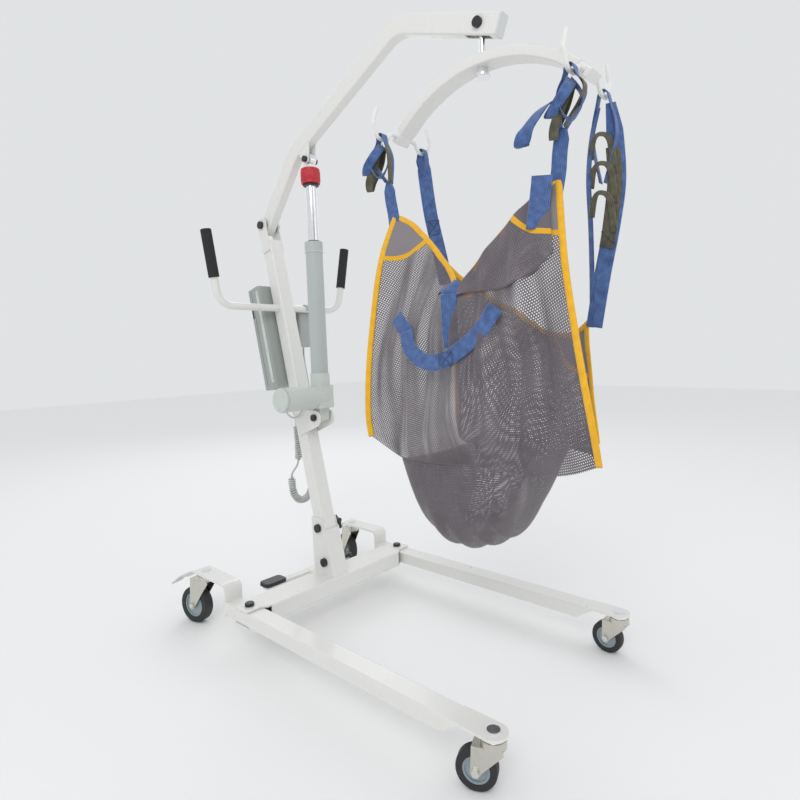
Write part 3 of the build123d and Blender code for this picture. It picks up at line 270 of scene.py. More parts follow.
# ---------------------------------------------------------------- floor and light
# A seamless pale sweep with a soft key over the camera's left shoulder, a wide fill and a light from behind.
floor_mesh = bpy.data.meshes.new("floor")
floor_mesh.from_pydata([(-9, -9, 0), (9, -9, 0), (9, 9, 0), (-9, 9, 0)], [], [(0, 1, 2, 3)])
floor = bpy.data.objects.new("floor", floor_mesh)
bpy.context.scene.collection.objects.link(floor)
floor_mesh.materials.append(skin("floor_paint", (0.93, 0.93, 0.925), (0.9, 0.9, 0.895), 0.75, 40, 0.3, 0.0))
world = bpy.data.worlds.new("studio")
bpy.context.scene.world = world
world.use_nodes = True
world.node_tree.nodes["Background"].inputs["Color"].default_value = (0.96, 0.98, 1.0, 1)
world.node_tree.nodes["Background"].inputs["Strength"].default_value = 0.78
for name, place, target, size, power in (("key", (-2.6, -1.6, 3.0), (0, 0, 0.8), 1.6, 30),
                                         ("fill", (1.4, -3.4, 1.9), (0, -0.1, 0.7), 2.4, 8),
                                         ("rim", (1.8, 2.6, 2.6), (0, 0.1, 0.9), 1.8, 16)):
    lamp_data = bpy.data.lights.new(name, "AREA")
    lamp_data.size = size
    lamp_data.energy = power
    lamp = bpy.data.objects.new(name, lamp_data)
    back = np.subtract(place, target)
    back = back / np.linalg.norm(back)
    across = np.cross((0, 0, 1.0), back)
    across /= np.linalg.norm(across)
    basis = np.column_stack([across, np.cross(back, across), back])
    lamp.matrix_world = Matrix.Translation(place) @ Matrix(basis.tolist()).to_4x4()
    bpy.context.scene.collection.objects.link(lamp)
bpy.context.scene.view_settings.view_transform = "Standard"

# ---------------------------------------------------------------- finishes of the CAD pieces
# White powder coat with a faint orange peel on all the tubes; greyed moulded plastic, rubber and plated steel
# on the fittings.
coat = skin("white_powder_coat", (0.80, 0.795, 0.765), (0.70, 0.685, 0.64), 0.30, 260, 0.45, 0.05, coat=0.35)
black = skin("black_nylon", (0.018, 0.018, 0.02), (0.06, 0.06, 0.062), 0.38, 700, 0.6, 0.06)
looks = {
    "painted_white": coat,
    "hook_white": skin("hook_dip_coat", (0.83, 0.825, 0.80), (0.74, 0.725, 0.68), 0.26, 200, 0.4, 0.04,
                       coat=0.4),
    "cap_light": skin("pale_cap", (0.66, 0.68, 0.67), (0.55, 0.56, 0.55), 0.45),
    "black_plastic": black,
    "chrome": skin("chrome_plate", (0.86, 0.86, 0.88), (0.6, 0.6, 0.62), 0.10, 300, 0.5, 0.01, metallic=1.0),
    "fork_olive": skin("zinc_fork", (0.62, 0.60, 0.54), (0.38, 0.35, 0.28), 0.27, 160, 0.7, 0.05,
                       metallic=1.0),
    "bolt_steel": skin("zinc_bolt", (0.70, 0.69, 0.66), (0.4, 0.39, 0.36), 0.3, 300, 0.6, 0.04, metallic=1.0),
    "brake_grey": skin("brake_plate", (0.62, 0.63, 0.62), (0.42, 0.42, 0.4), 0.42, 300, 0.6, 0.05),
    "wheel_grey": skin("wheel_core", (0.30, 0.37, 0.40), (0.2, 0.24, 0.26), 0.38, 600, 0.5, 0.05),
    "tyre_black": skin("tyre_rubber", (0.022, 0.022, 0.024), (0.085, 0.082, 0.078), 0.62, 500, 0.8, 0.12),
    "actuator_grey": skin("actuator_case", (0.60, 0.635, 0.60), (0.5, 0.52, 0.48), 0.42, 800, 0.4, 0.06),
    "tube_grey": skin("actuator_tube", (0.47, 0.51, 0.50), (0.38, 0.4, 0.39), 0.33, 500, 0.4, 0.03, coat=0.2),
    "collar_red": skin("red_collar", (0.52, 0.018, 0.03), (0.3, 0.02, 0.025), 0.36, 600, 0.5, 0.05),
    "unit_grey": skin("control_case", (0.36, 0.385, 0.365), (0.27, 0.285, 0.27), 0.5, 700, 0.4, 0.08),
    "battery_black": black,
    "grip_black": skin("foam_grip", (0.015, 0.015, 0.016), (0.05, 0.05, 0.052), 0.72, 420, 0.7, 0.35),
    "stop_red": skin("stop_button_red", (0.62, 0.015, 0.012), (0.4, 0.02, 0.02), 0.28, 500, 0.3, 0.02),
    "handset_grey": skin("handset_case", (0.42, 0.45, 0.44), (0.32, 0.34, 0.33), 0.48, 800, 0.4, 0.07),
    "button_blue": skin("button_blue", (0.03, 0.12, 0.42), (0.05, 0.15, 0.4), 0.4, 800, 0.3, 0.03),
}
slot_of = {part["node"]: part["material_slot"] for part in frame["record"]["subparts"]}
for node, slot in slot_of.items():
    if slot in looks:
        nodes[node].data.materials.clear()
        nodes[node].data.materials.append(looks[slot])


# ---------------------------------------------------------------- sling cloth
# The sling is polyester spacer mesh. Each side wall hangs from two corners, with a slack top edge between them and
# free slanting ends, and the middle runs on under the seat as a pouch. Here it is three sheets that meet
# at the waist.
def grid_mesh(name, points, wrap=False, uv=None, caps=False):
    """Mesh of a rows x columns x 3 grid. wrap joins the last column to the first; caps closes the end
    rows."""
    rows, columns = points.shape[:2]
    index = np.arange(rows * columns).reshape(rows, columns)
    right = np.roll(index, -1, axis=1) if wrap else index[:, 1:]
    left = index if wrap else index[:, :-1]
    quads = np.stack([left[:-1], right[:-1], right[1:], left[1:]], axis=-1).reshape(-1, 4)
    faces = quads.tolist()
    if caps:
        faces += [index[0, ::-1].tolist(), index[-1].tolist()]
    mesh = bpy.data.meshes.new(name)
    mesh.from_pydata(points.reshape(-1, 3).tolist(), [], faces)
    if uv is not None:
        layer = mesh.uv_layers.new(name="cloth")
        corner = np.zeros(len(mesh.loops), int)
        mesh.loops.foreach_get("vertex_index", corner)
        layer.data.foreach_set("uv", uv.reshape(-1, 2)[corner].ravel())
    mesh.polygons.foreach_set("use_smooth", np.ones(len(mesh.polygons), bool))
    mesh.update()
    return mesh


def smooth_line(points, count):
    """Catmull-Rom line of count points through the given points."""
    points = np.asarray(points, float)
    padded = np.vstack([2 * points[0] - points[1], points, 2 * points[-1] - points[-2]])
    at = np.linspace(0, len(points) - 1 - 1e-9, count)
    k, t = at.astype(int), (at % 1)[:, None]
    a, b, c, d = padded[k], padded[k + 1], padded[k + 2], padded[k + 3]
    return 0.5 * (2 * b + (c - a) * t + (2 * a - 5 * b + 4 * c - d) * t ** 2 + (3 * b - a - 3 * c + d)
                  * t ** 3)


def even_line(points, count):
    """The same line with its points spaced evenly along its length."""
    line = smooth_line(points, 400)
    run = np.concatenate([[0], np.cumsum(np.linalg.norm(np.diff(line, axis=0), axis=1))])
    at = np.linspace(0, run[-1], count)
    return np.column_stack([np.interp(at, run, line[:, i]) for i in range(3)])


# the knit has round holes in staggered rows, set out on the cloth's own coordinates
mesh_knit, gin, gout, g = make_group(
    "mesh_knit", [("Pitch", FLOAT, 0.0046), ("Solid", FLOAT, 0.0)],
    [("Color", COLOR), ("Cover", FLOAT), ("Height", FLOAT)])
uv = g.add("ShaderNodeTexCoord").outputs["UV"]
part = g.add("ShaderNodeSeparateXYZ", {0: uv})
warp = g.math("DIVIDE", part.outputs[0], gin.outputs["Pitch"])
weft = g.math("DIVIDE", part.outputs[1], gin.outputs["Pitch"])
row_shift = g.math("MULTIPLY", g.math("MODULO", g.math("FLOOR", weft), 2.0), 0.5)
cell_x = g.math("ABSOLUTE", g.math("SUBTRACT", g.math("FRACT", g.math("ADD", warp, row_shift)), 0.5))
cell_y = g.math("ABSOLUTE", g.math("SUBTRACT", g.math("FRACT", weft), 0.5))
ring = g.math("SQRT", g.math("ADD", g.math("MULTIPLY", cell_x, cell_x), g.math("MULTIPLY", cell_y, cell_y)))
thread = g.math("MAXIMUM", g.ramp(ring, 0.30, 0.37), gin.outputs["Solid"])
blotch = g.add("ShaderNodeTexNoise", {"Vector": uv, "Scale": 14.0, "Detail": 4.0}).outputs["Fac"]
fibre = g.add("ShaderNodeTexNoise", {"Vector": uv, "Scale": 900.0, "Detail": 2.0}).outputs["Fac"]
yarn = g.mix(g.ramp(g.math("ADD", g.math("MULTIPLY", blotch, 0.7), g.math("MULTIPLY", fibre, 0.3)), 0.3, 0.7),
             (0.115, 0.098, 0.112, 1), (0.215, 0.188, 0.208, 1))
g.tree.links.new(yarn, gout.inputs["Color"])
g.tree.links.new(thread, gout.inputs["Cover"])
g.tree.links.new(g.math("ADD", thread, g.math("MULTIPLY", fibre, 0.2)), gout.inputs["Height"])


patch_reach, edging_reach = 0.126, 0.115


def cloth_material(name, solid, tint=(1, 1, 1)):
    """Mesh cloth, open between its threads unless it is solid; patches near a corner are always solid."""
    material = bpy.data.materials.new(name)
    material.use_nodes = True
    tree = material.node_tree
    shader = Shader(tree)
    surface = tree.nodes["Principled BSDF"]
    reach = shader.add("ShaderNodeAttribute", attribute_name="corner_reach").outputs["Fac"]
    cover = shader.math("MAXIMUM", shader.math("LESS_THAN", reach, patch_reach), solid)
    knit = shader.add("ShaderNodeGroup", {"Solid": cover}, node_tree=mesh_knit)
    plain = shader.mix(shader.math("LESS_THAN", reach, patch_reach), knit.outputs["Color"],
                       (0.24 * tint[0], 0.215 * tint[1], 0.225 * tint[2], 1))
    edge = shader.math("MULTIPLY", shader.math("GREATER_THAN", reach, edging_reach),
                       shader.math("LESS_THAN", reach, patch_reach))
    tree.links.new(shader.mix(edge, plain, (0.80, 0.42, 0.012, 1)), surface.inputs["Base Color"])
    tree.links.new(knit.outputs["Cover"], surface.inputs["Alpha"])
    bump = shader.add("ShaderNodeBump", {"Height": knit.outputs["Height"], "Strength": 0.35,
                                         "Distance": 0.001})
    tree.links.new(bump.outputs["Normal"], surface.inputs["Normal"])
    surface.inputs["Roughness"].default_value = 0.82
    surface.inputs["Sheen Weight"].default_value = 0.25
    surface.inputs["Sheen Roughness"].default_value = 0.5
    return material


mesh_cloth = cloth_material("sling_mesh", 0.0)


def coons(top, bottom, left, right):
    """Patch spanned by four edge lines: the two ruled surfaces added, less the bilinear one through the
    corners."""
    v = np.linspace(0, 1, len(left))[:, None, None]
    u = np.linspace(0, 1, len(top))[None, :, None]
    ruled = (1 - v) * top[None] + v * bottom[None] + (1 - u) * left[:, None] + u * right[:, None]
    flat = ((1 - v) * (1 - u) * top[0] + (1 - v) * u * top[-1] + v * (1 - u) * bottom[0] + v * u * bottom[-1])
    return ruled - flat


side_columns, wall_rows, pouch_rows = 121, 81, 72
rear_pouch, front_pouch = 20, 88       # columns where the pouch starts and ends
corner_rear = (-0.072, -0.073, 1.090)
corner_front = (-0.072, -0.513, 1.090)
near = {
    "top": [corner_rear, (-0.062, -0.129, 1.058), (-0.066, -0.20, 0.985), (-0.085, -0.258, 0.922),
            (-0.118, -0.292, 0.884), (-0.138, -0.305, 0.872), (-0.135, -0.345, 0.920), (-0.112, -0.41, 1.000),
            (-0.085, -0.475, 1.065), corner_front],
    "left": [corner_rear, (-0.118, -0.069, 0.985), (-0.146, -0.069, 0.883), (-0.166, -0.067, 0.74),
             (-0.174, -0.067, 0.62), (-0.168, -0.069, 0.566)],
    "right": [corner_front, (-0.085, -0.522, 1.030), (-0.118, -0.545, 0.91), (-0.140, -0.571, 0.80),
              (-0.164, -0.606, 0.66), (-0.140, -0.612, 0.552)],
    "bottom": [(-0.168, -0.069, 0.566), (-0.125, -0.110, 0.520), (-0.140, -0.16, 0.515),
               (-0.158, -0.25, 0.52),
               (-0.158, -0.34, 0.525), (-0.146, -0.42, 0.52), (-0.128, -0.480, 0.515), (-0.130, -0.55, 0.528),
               (-0.140, -0.612, 0.552)]}
far_corner_rear, far_corner_front = (0.085, -0.090, 1.000), (0.088, -0.490, 0.815)
far = {
    "top": [far_corner_rear, (0.105, -0.14, 0.945), (0.128, -0.21, 0.89), (0.140, -0.28, 0.852),
            (0.135, -0.36, 0.80),
            (0.110, -0.44, 0.79), far_corner_front],
    "left": [far_corner_rear, (0.135, -0.072, 0.89), (0.160, -0.068, 0.74), (0.160, -0.069, 0.566)],
    "right": [far_corner_front, (0.088, -0.490, 0.76), (0.092, -0.495, 0.66), (0.095, -0.505, 0.552)],
    "bottom": [(x * -1, y, z) for x, y, z in near["bottom"]]}
far["bottom"] = [far["left"][-1], *far["bottom"][1:-2], (0.112, -0.480, 0.52), far["right"][-1]]


def folds(shape, seed):
    """Folds across the columns: sums of sines, held small at the edges and strongest part way down."""
    v = np.linspace(0, 1, shape[0])[:, None]
    u = np.linspace(0, 1, shape[1])[None, :]
    fan = np.sin((u * 7.3 + seed) * 2 * np.pi + 2.2 * v) * 0.0055 + np.sin((u * 13.1 + 2 * seed) * 2
                                                                           * np.pi) * 0.0022
    drag = np.sin((u * 2.1 + v * 1.4 + seed) * 2 * np.pi) * 0.010
    hold = np.sin(np.pi * np.clip(v * 0.96 + 0.04, 0, 1)) ** 0.7 * np.clip(np.minimum(u, 1 - u) * 14, 0.15, 1)
    return (fan + drag) * hold


def wall(edges, out, seed):
    """One side wall: a patch between its edges, bellied outwards and folded."""
    lines = {k: even_line(v, side_columns if k in ("top", "bottom") else wall_rows) for k, v in edges.items()}
    points = coons(lines["top"], lines["bottom"], lines["left"], lines["right"])
    v = np.linspace(0, 1, wall_rows)[:, None]
    u = np.linspace(0, 1, side_columns)[None, :]
    points[..., 0] += out * (0.012 * np.sin(np.pi * v) * np.sin(np.pi * u) + folds(points.shape, seed))
    return points


near_wall = wall(near, -1, 0.13)
far_wall = wall(far, 1, 0.61)
# the pouch swings from the near wall's foot to the far wall's, deepest toward the rear
columns = np.arange(rear_pouch, front_pouch + 1)
span = (columns - rear_pouch) / (front_pouch - rear_pouch) * 2 - 1
depth = 0.212 * (1 - np.abs(span) ** 3.4) ** (1 / 2.2) * (1 - 0.24 * np.clip(span + 0.1, 0, 1) ** 1.2)
swing = np.linspace(0, np.pi, pouch_rows)[:, None]
near_foot, far_foot = near_wall[-1, columns], far_wall[-1, columns]
share = (0.5 - 0.5 * np.cos(swing))[..., None]
pouch = near_foot[None] * (1 - share) + far_foot[None] * share
pouch[..., 2] -= depth[None] * np.sin(swing) ** 0.75
pouch[..., 1] += (0.030 * span ** 3 * np.sin(swing))
pouch[..., 2] += 0.004 * np.sin(span * 19)[None] * np.sin(swing) ** 0.6


def lay_out(points):
    """Cloth coordinates in metres: distance along the columns, and distance down the middle of the rows."""
    u = np.concatenate([np.zeros((points.shape[0], 1)),
                        np.cumsum(np.linalg.norm(np.diff(points, axis=1), axis=2), axis=1)], axis=1)
    v = np.concatenate([np.zeros((1, points.shape[1])),
                        np.cumsum(np.linalg.norm(np.diff(points, axis=0), axis=2), axis=0)], axis=0)
    return np.stack([u.mean(axis=0)[None] + 0 * u, v.mean(axis=1)[:, None] + 0 * v], axis=-1)


def corner_attribute(mesh, corners, far_value=1.0):
    """Distance of every vertex to the nearest of the corners, for the solid patches."""
    co = np.zeros(len(mesh.vertices) * 3)
    mesh.vertices.foreach_get("co", co)
    co = co.reshape(-1, 3)
    reach = np.full(len(co), far_value)
    for corner in corners:
        reach = np.minimum(reach, np.linalg.norm(co - corner, axis=1))
    attribute = mesh.attributes.new("corner_reach", "FLOAT", "POINT")
    attribute.data.foreach_set("value", reach)


def cloth_sheet(name, points, material, body, corners, thick=0.0016):
    """A cloth sheet with a little thickness, its cloth coordinates measured flat in metres."""
    mesh = grid_mesh(name, points, uv=lay_out(points))
    corner_attribute(mesh, corners)
    obj = bpy.data.objects.new(name, mesh)
    link(obj, body, material)
    layers = obj.modifiers.new("thickness", "SOLIDIFY")
    layers.thickness = thick
    layers.offset = 0
    return obj


corners = np.array([corner_rear, corner_front, far_corner_rear, far_corner_front])
near_sheet = cloth_sheet("sling_wall_right", near_wall, mesh_cloth, "spreader", corners)
cloth_sheet("sling_wall_left", far_wall, mesh_cloth, "spreader", corners)
cloth_sheet("sling_pouch", pouch, mesh_cloth, "spreader", corners)
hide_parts("sling")

# a second layer is turned over along the front half of the near top edge, from the middle up to the corner
fold_columns, fold_rows = 56, 26
along = np.linspace(0, 1, fold_columns)[None, :]
down = np.linspace(0, 1, fold_rows)[:, None]
at_column = 66 + along * 50 + 0 * down
at_row = down * (3 + 20 * np.sin(along * np.pi * 0.62))
c0, r0 = np.minimum(at_column.astype(int), side_columns - 2), at_row.astype(int)
fc, fr = (at_column - c0)[..., None], (at_row - r0)[..., None]
cuff = ((1 - fr) * ((1 - fc) * near_wall[r0, c0] + fc * near_wall[r0, c0 + 1])
        + fr * ((1 - fc) * near_wall[r0 + 1, c0] + fc * near_wall[r0 + 1, c0 + 1]))
cuff[..., 0] -= 0.005 + 0.002 * np.sin(along * 21)
cuff_cloth = cloth_material("sling_turned_edge", 0.6, (0.6, 0.58, 0.62))
cloth_sheet("sling_turned_edge", cuff, cuff_cloth, "spreader", corners)

# ---------------------------------------------------------------- webbing, loops and bindings
# All straps are woven polyester tape, ribbed along their length, with lock stitching where they are sewn.
webbing, gin, gout, g = make_group(
    "webbing", [("Color", COLOR, (0.1, 0.2, 0.5, 1)), ("Shade", COLOR, (0.03, 0.06, 0.2, 1))],
    [("Color", COLOR), ("Height", FLOAT)])
uv = g.add("ShaderNodeTexCoord").outputs["UV"]
part = g.add("ShaderNodeSeparateXYZ", {0: uv})
ribs = g.math("ABSOLUTE", g.math("SINE", g.math("MULTIPLY", part.outputs[0], 900.0)))
picks = g.math("ABSOLUTE", g.math("SINE", g.math("MULTIPLY", part.outputs[1], 2200.0)))
weave = g.math("MULTIPLY", g.math("ADD", ribs, picks), 0.5)
wear = g.add("ShaderNodeTexNoise", {"Vector": uv, "Scale": 60.0, "Detail": 5.0}).outputs["Fac"]
tone = g.mix(g.ramp(g.math("ADD", g.math("MULTIPLY", weave, 0.5), wear), 0.55, 1.05),
             gin.outputs["Shade"], gin.outputs["Color"])
g.tree.links.new(tone, gout.inputs["Color"])
g.tree.links.new(weave, gout.inputs["Height"])


def tape_material(name, color, shade):
    material = bpy.data.materials.new(name)
    material.use_nodes = True
    tree = material.node_tree
    shader = Shader(tree)
    surface = tree.nodes["Principled BSDF"]
    woven = shader.add("ShaderNodeGroup", node_tree=webbing)
    woven.inputs["Color"].default_value = (*color, 1)
    woven.inputs["Shade"].default_value = (*shade, 1)
    bump = shader.add("ShaderNodeBump", {"Height": woven.outputs["Height"], "Strength": 0.4,
                                         "Distance": 0.0006})
    tree.links.new(woven.outputs["Color"], surface.inputs["Base Color"])
    tree.links.new(bump.outputs["Normal"], surface.inputs["Normal"])
    surface.inputs["Roughness"].default_value = 0.7
    surface.inputs["Sheen Weight"].default_value = 0.3
    return material


blue = tape_material("blue_webbing", (0.085, 0.175, 0.42), (0.025, 0.06, 0.19))
olive = tape_material("olive_webbing", (0.135, 0.125, 0.075), (0.05, 0.046, 0.028))
yellow = tape_material("yellow_binding", (0.95, 0.53, 0.008), (0.80, 0.38, 0.005))


def ribbon(name, route, facing, width, material, thick=0.0018, count=64,
           ends=(1.0, 1.0)):
    """A flat tape along a smooth line. facing is the way its face looks, one vector or one for each route
    point.
    The section is a thin rounded box; ends scales the width at the two ends."""
    line = even_line(route, count)
    face = np.asarray(facing, float)
    face = np.tile(face, (count, 1)) if face.ndim == 1 else smooth_line(face, count)
    forward = np.gradient(line, axis=0)
    forward /= np.linalg.norm(forward, axis=1)[:, None]
    across = np.cross(forward, face)
    across /= np.linalg.norm(across, axis=1)[:, None]
    out = np.cross(across, forward)
    w, t = width / 2, thick / 2
    section = np.array([(-w, 0), (-w + t, t), (-w / 2, t * 1.15), (0, t), (w / 2, t * 1.15), (w - t, t),
                        (w, 0),
                        (w - t, -t), (0, -t), (-w + t, -t)])
    taper = np.interp(np.linspace(0, 1, count), [0, 0.12, 0.88, 1], [ends[0], 1, 1, ends[1]])
    points = (line[:, None] + (section[None, :, :1] * taper[:, None, None]) * across[:, None]
              + section[None, :, 1:] * out[:, None])
    run = np.concatenate([[0], np.cumsum(np.linalg.norm(np.diff(line, axis=0), axis=1))])
    uv = np.stack([section[None, :, 0] + 0 * run[:, None], run[:, None] + 0 * section[None, :, 0]], axis=-1)
    obj = bpy.data.objects.new(name, grid_mesh(name, points, wrap=True, uv=uv, caps=True))
    return link(obj, "spreader", material)


def edge_tape(name, line, inward, width=0.014):
    """Binding folded over an edge of the cloth, a little way in from it."""
    return ribbon(name, line + inward * width * 0.35, normal_of(line, inward), width, yellow, 0.0045, 90)


def normal_of(line, inward):
    """The cloth's face beside an edge: square to the edge and to the way into the cloth."""
    forward = np.gradient(line, axis=0)
    face = np.cross(forward, inward)
    return face / np.linalg.norm(face, axis=1)[:, None]


def edge_of(points, which):
    """(edge line, unit vectors into the cloth) of one side of a wall."""
    picks = {"top": (points[0], points[3]), "left": (points[:, 0], points[:, 3]),
             "right": (points[:, -1], points[:, -4])}
    line, inner = picks[which]
    inward = inner - line
    keep = np.linspace(0, len(line) - 1, 22).astype(int)
    inward = inward / np.maximum(np.linalg.norm(inward, axis=1), 1e-9)[:, None]
    return line[keep], inward[keep]


for label, points in (("right", near_wall), ("left", far_wall)):
    for which in ("top", "left", "right"):
        line, inward = edge_of(points, which)
        edge_tape(f"binding_{label}_{which}", line, inward)


# the four straps: from each corner of the cloth up over its hook
hook_low = 1.2776
hooks = {"near_rear": (-0.076, -0.0407), "near_front": (-0.076, -0.5398),
         "far_rear": (0.076, -0.0407), "far_front": (0.076, -0.5398)}


def loop(name, hook, foot, spread, width=0.020, sag=0.0, material=None):
    """A narrow tape looped over a hook: up one side, round under the hook's bend, and down to the foot again.
    Its face looks out of the loop, so the line lies in the plane across the hook."""
    x, y = hook
    z = hook_low + 0.0125
    route = [np.add(foot, (0.002, -0.004, 0.0)), (x + sag, y - spread, (z + foot[2]) / 2),
             (x, y - 0.013, z - 0.022),
             (x, y - 0.008, z - 0.004), (x, y, z + 0.001), (x, y + 0.008, z - 0.004),
             (x, y + 0.013, z - 0.022),
             (x - sag, y + spread, (z + foot[2]) / 2), np.add(foot, (-0.002, 0.004, 0.0))]
    facing = [(0, -1, 0.1), (0, -1, 0.1), (0, -1, 0.2), (0, -0.7, 0.7), (0, 0, 1), (0, 0.7, 0.7), (0, 1, 0.2),
              (0, 1, 0.1), (0, 1, 0.1)]
    return ribbon(name, route, facing, width, material or blue, 0.0018, 72)


def hanging_loop(name, top, length, gape, lean, material, width=0.018):
    """A spare loop that hangs from the bundle: down one side, round its low end and up the other."""
    top, lean = np.array(top, float), np.array(lean, float)
    side = np.cross(lean / np.linalg.norm(lean), (0, 0, 1.0))
    down = np.array((0, 0, -1.0)) * length
    route = [top + side * 0.004, top + down * 0.35 + side * gape + lean * 0.4,
             top + down * 0.8 + side * gape * 0.8 + lean,
             top + down + lean * 1.1, top + down * 0.8 - side * gape * 0.8 + lean,
             top + down * 0.35 - side * gape + lean * 0.4, top - side * 0.004]
    facing = [side, side, side * 0.7 - (0, 0, 0.7), (0, 0, -1), -side * 0.7 - (0, 0, 0.7), -side, -side]
    return ribbon(name, route, facing, width, material, 0.0016, 60)


near_knots = {"near_rear": (-0.082, -0.066, 1.165), "near_front": (-0.080, -0.5235, 1.175)}
for label, corner in (("near_rear", corner_rear), ("near_front", corner_front)):
    hook = hooks[label]
    knot = near_knots[label]
    loop(f"strap_loop_{label}", hook, knot, 0.024, 0.019, 0.006)
    loop(f"strap_loop_olive_{label}", (hook[0] + 0.002, hook[1] + 0.002), knot, 0.034, 0.016, -0.012, olive)
    corner = np.array(corner)
    inner = corner + (0.0, 0.018 if label == "near_front" else -0.012, -0.100)
    ribbon(f"strap_neck_{label}", [knot, (np.array(knot) + corner) / 2 + (0, 0.004, 0),
                                   corner + (-0.004, 0.002, 0.008),
                                   corner + (-0.006, 0.006 if label == "near_front" else -0.004, -0.02),
                                   inner + (-0.010, 0, 0.02)],
           (-1, -0.25, 0.1), 0.030, blue, 0.0024, 60, ends=(0.55, 1.0))
    hanging_loop(f"strap_spare_a_{label}", (hook[0], hook[1] + 0.004, 1.262), 0.085, 0.020,
                 (-0.020, -0.012, 0), blue)
    hanging_loop(f"strap_spare_b_{label}", (hook[0], hook[1] - 0.002, 1.258), 0.105, 0.016,
                 (-0.012, 0.030, 0), olive)
    hanging_loop(f"strap_spare_c_{label}", (hook[0], hook[1], 1.260), 0.070, 0.026, (-0.024, 0.026, 0), blue,
                 0.022)
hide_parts("sling_straps")
ribbon("strap_tail_front", [(-0.080, -0.520, 1.232), (-0.102, -0.500, 1.216), (-0.118, -0.478, 1.186),
                            (-0.122, -0.462, 1.160), (-0.112, -0.452, 1.148), (-0.104, -0.458, 1.152)],
       [(-0.3, 0.2, 1), (-0.6, 0.3, 0.8), (-0.9, 0.3, 0.3), (-1, 0.3, 0), (-0.4, 0.2, -1), (0.5, 0, -1)],
       0.030, blue, 0.002, 56)
ribbon("strap_patch_front", [(-0.100, -0.488, 1.088), (-0.104, -0.487, 1.06), (-0.112, -0.480, 0.985)],
       (-1, -0.35, 0.1), 0.040, blue, 0.0024, 24)
# far straps: one short, and one long with the olive shortening loops sewn along it like rungs
ribbon("strap_far_rear", [(0.076, -0.0407, 1.279), (0.078, -0.046, 1.22), (0.080, -0.060, 1.12),
                          (0.083, -0.078, 1.04),
                          (0.086, -0.090, 0.985), (0.096, -0.095, 0.93)],
       (-1, -0.6, 0.05), 0.036, blue, 0.0026, 60, ends=(0.55, 1.0))
loop("strap_loop_far_rear", hooks["far_rear"], (0.077, -0.044, 1.22), 0.014, 0.018)
loop("strap_loop_far_front", hooks["far_front"], (0.079, -0.533, 1.10), 0.026, 0.018)
ribbon("strap_far_front_edge", [(0.072, -0.528, 1.255), (0.066, -0.515, 1.19), (0.064, -0.508, 1.11),
                                (0.072, -0.507, 1.01), (0.082, -0.503, 0.90), (0.090, -0.497, 0.80)],
       (-1, 0.5, 0), 0.016, blue, 0.0028, 60)
ribbon("strap_far_front_face", [(0.078, -0.553, 1.262), (0.082, -0.560, 1.19), (0.084, -0.562, 1.10),
                                (0.084, -0.548, 1.01), (0.086, -0.525, 0.91), (0.090, -0.502, 0.80)],
       (-1, -0.55, 0.05), 0.034, blue, 0.0026, 60, ends=(0.6, 1.0))
for index, (y, z) in enumerate(((-0.548, 1.145), (-0.548, 1.085), (-0.545, 1.025))):
    ribbon(f"strap_rung_{index}", [(0.066, -0.512, z + 0.005), (0.060, -0.522, z + 0.042),
                                   (0.060, y + 0.010, z + 0.052),
                                   (0.068, y - 0.006, z + 0.036), (0.079, y - 0.010, z - 0.030)],
           (-1, -0.3, 0.6), 0.013, olive, 0.002, 40)
ribbon("strap_olive_backing", [(0.0795, -0.556, 1.17), (0.0795, -0.558, 1.10), (0.0795, -0.546, 1.01),
                               (0.0805, -0.537, 0.965)], (-1, -0.55, 0.05), 0.030, olive, 0.0022, 40)

# the handle strap over the middle of the near top edge, and the cross strap that closes the sling
ribbon("handle_strap_top", [(-0.118, -0.262, 0.886), (-0.139, -0.283, 0.892), (-0.150, -0.303, 0.884),
                            (-0.152, -0.312, 0.862)],
       [(-0.5, 0.2, 1), (-0.7, 0.1, 0.9), (-1, 0, 0.4), (-1, 0, 0)], 0.040, blue, 0.0026, 40)
ribbon("handle_strap_drop", [(-0.158, -0.300, 0.874), (-0.164, -0.306, 0.84), (-0.168, -0.310, 0.80),
                             (-0.166, -0.314, 0.765)], (-1, -0.3, 0), 0.036, blue, 0.0026, 40)
ribbon("cross_strap", [(-0.176, -0.196, 0.800), (-0.186, -0.218, 0.760), (-0.192, -0.262, 0.736),
                       (-0.192, -0.310, 0.738), (-0.188, -0.350, 0.760), (-0.182, -0.390, 0.790),
                       (-0.174, -0.425, 0.838)], (-1, -0.15, 0.1), 0.034, blue, 0.0026, 72)
ribbon("cross_strap_end", [(-0.156, -0.150, 0.835), (-0.163, -0.172, 0.815), (-0.166, -0.196, 0.792)],
       (-1, -0.1, 0.1),
       0.034, blue, 0.0026, 24)


# lock stitching: a box with a cross in it wherever two tapes are sewn together
def stitch_box(name, middle, facing, along, length, width, material):
    """Six straight rows of thread, as thin tapes: the sides of a rectangle and its two diagonals."""
    facing = np.array(facing, float) / np.linalg.norm(facing)
    along = np.array(along, float)
    along -= facing * along.dot(facing)
    along /= np.linalg.norm(along)
    across = np.cross(facing, along)
    middle = np.array(middle, float) + facing * 0.0022
    corner = [middle + along * length / 2 * a + across * width / 2 * b for a,
              b in ((1, 1), (1, -1), (-1, -1), (-1, 1))]
    for row, (start, end) in enumerate(((0, 1), (1, 2), (2, 3), (3, 0), (0, 2), (1, 3))):
        ribbon(f"{name}_{row}", [corner[start], (corner[start] + corner[end]) / 2, corner[end]], facing,
               0.0012,
               material, 0.0009, 6)


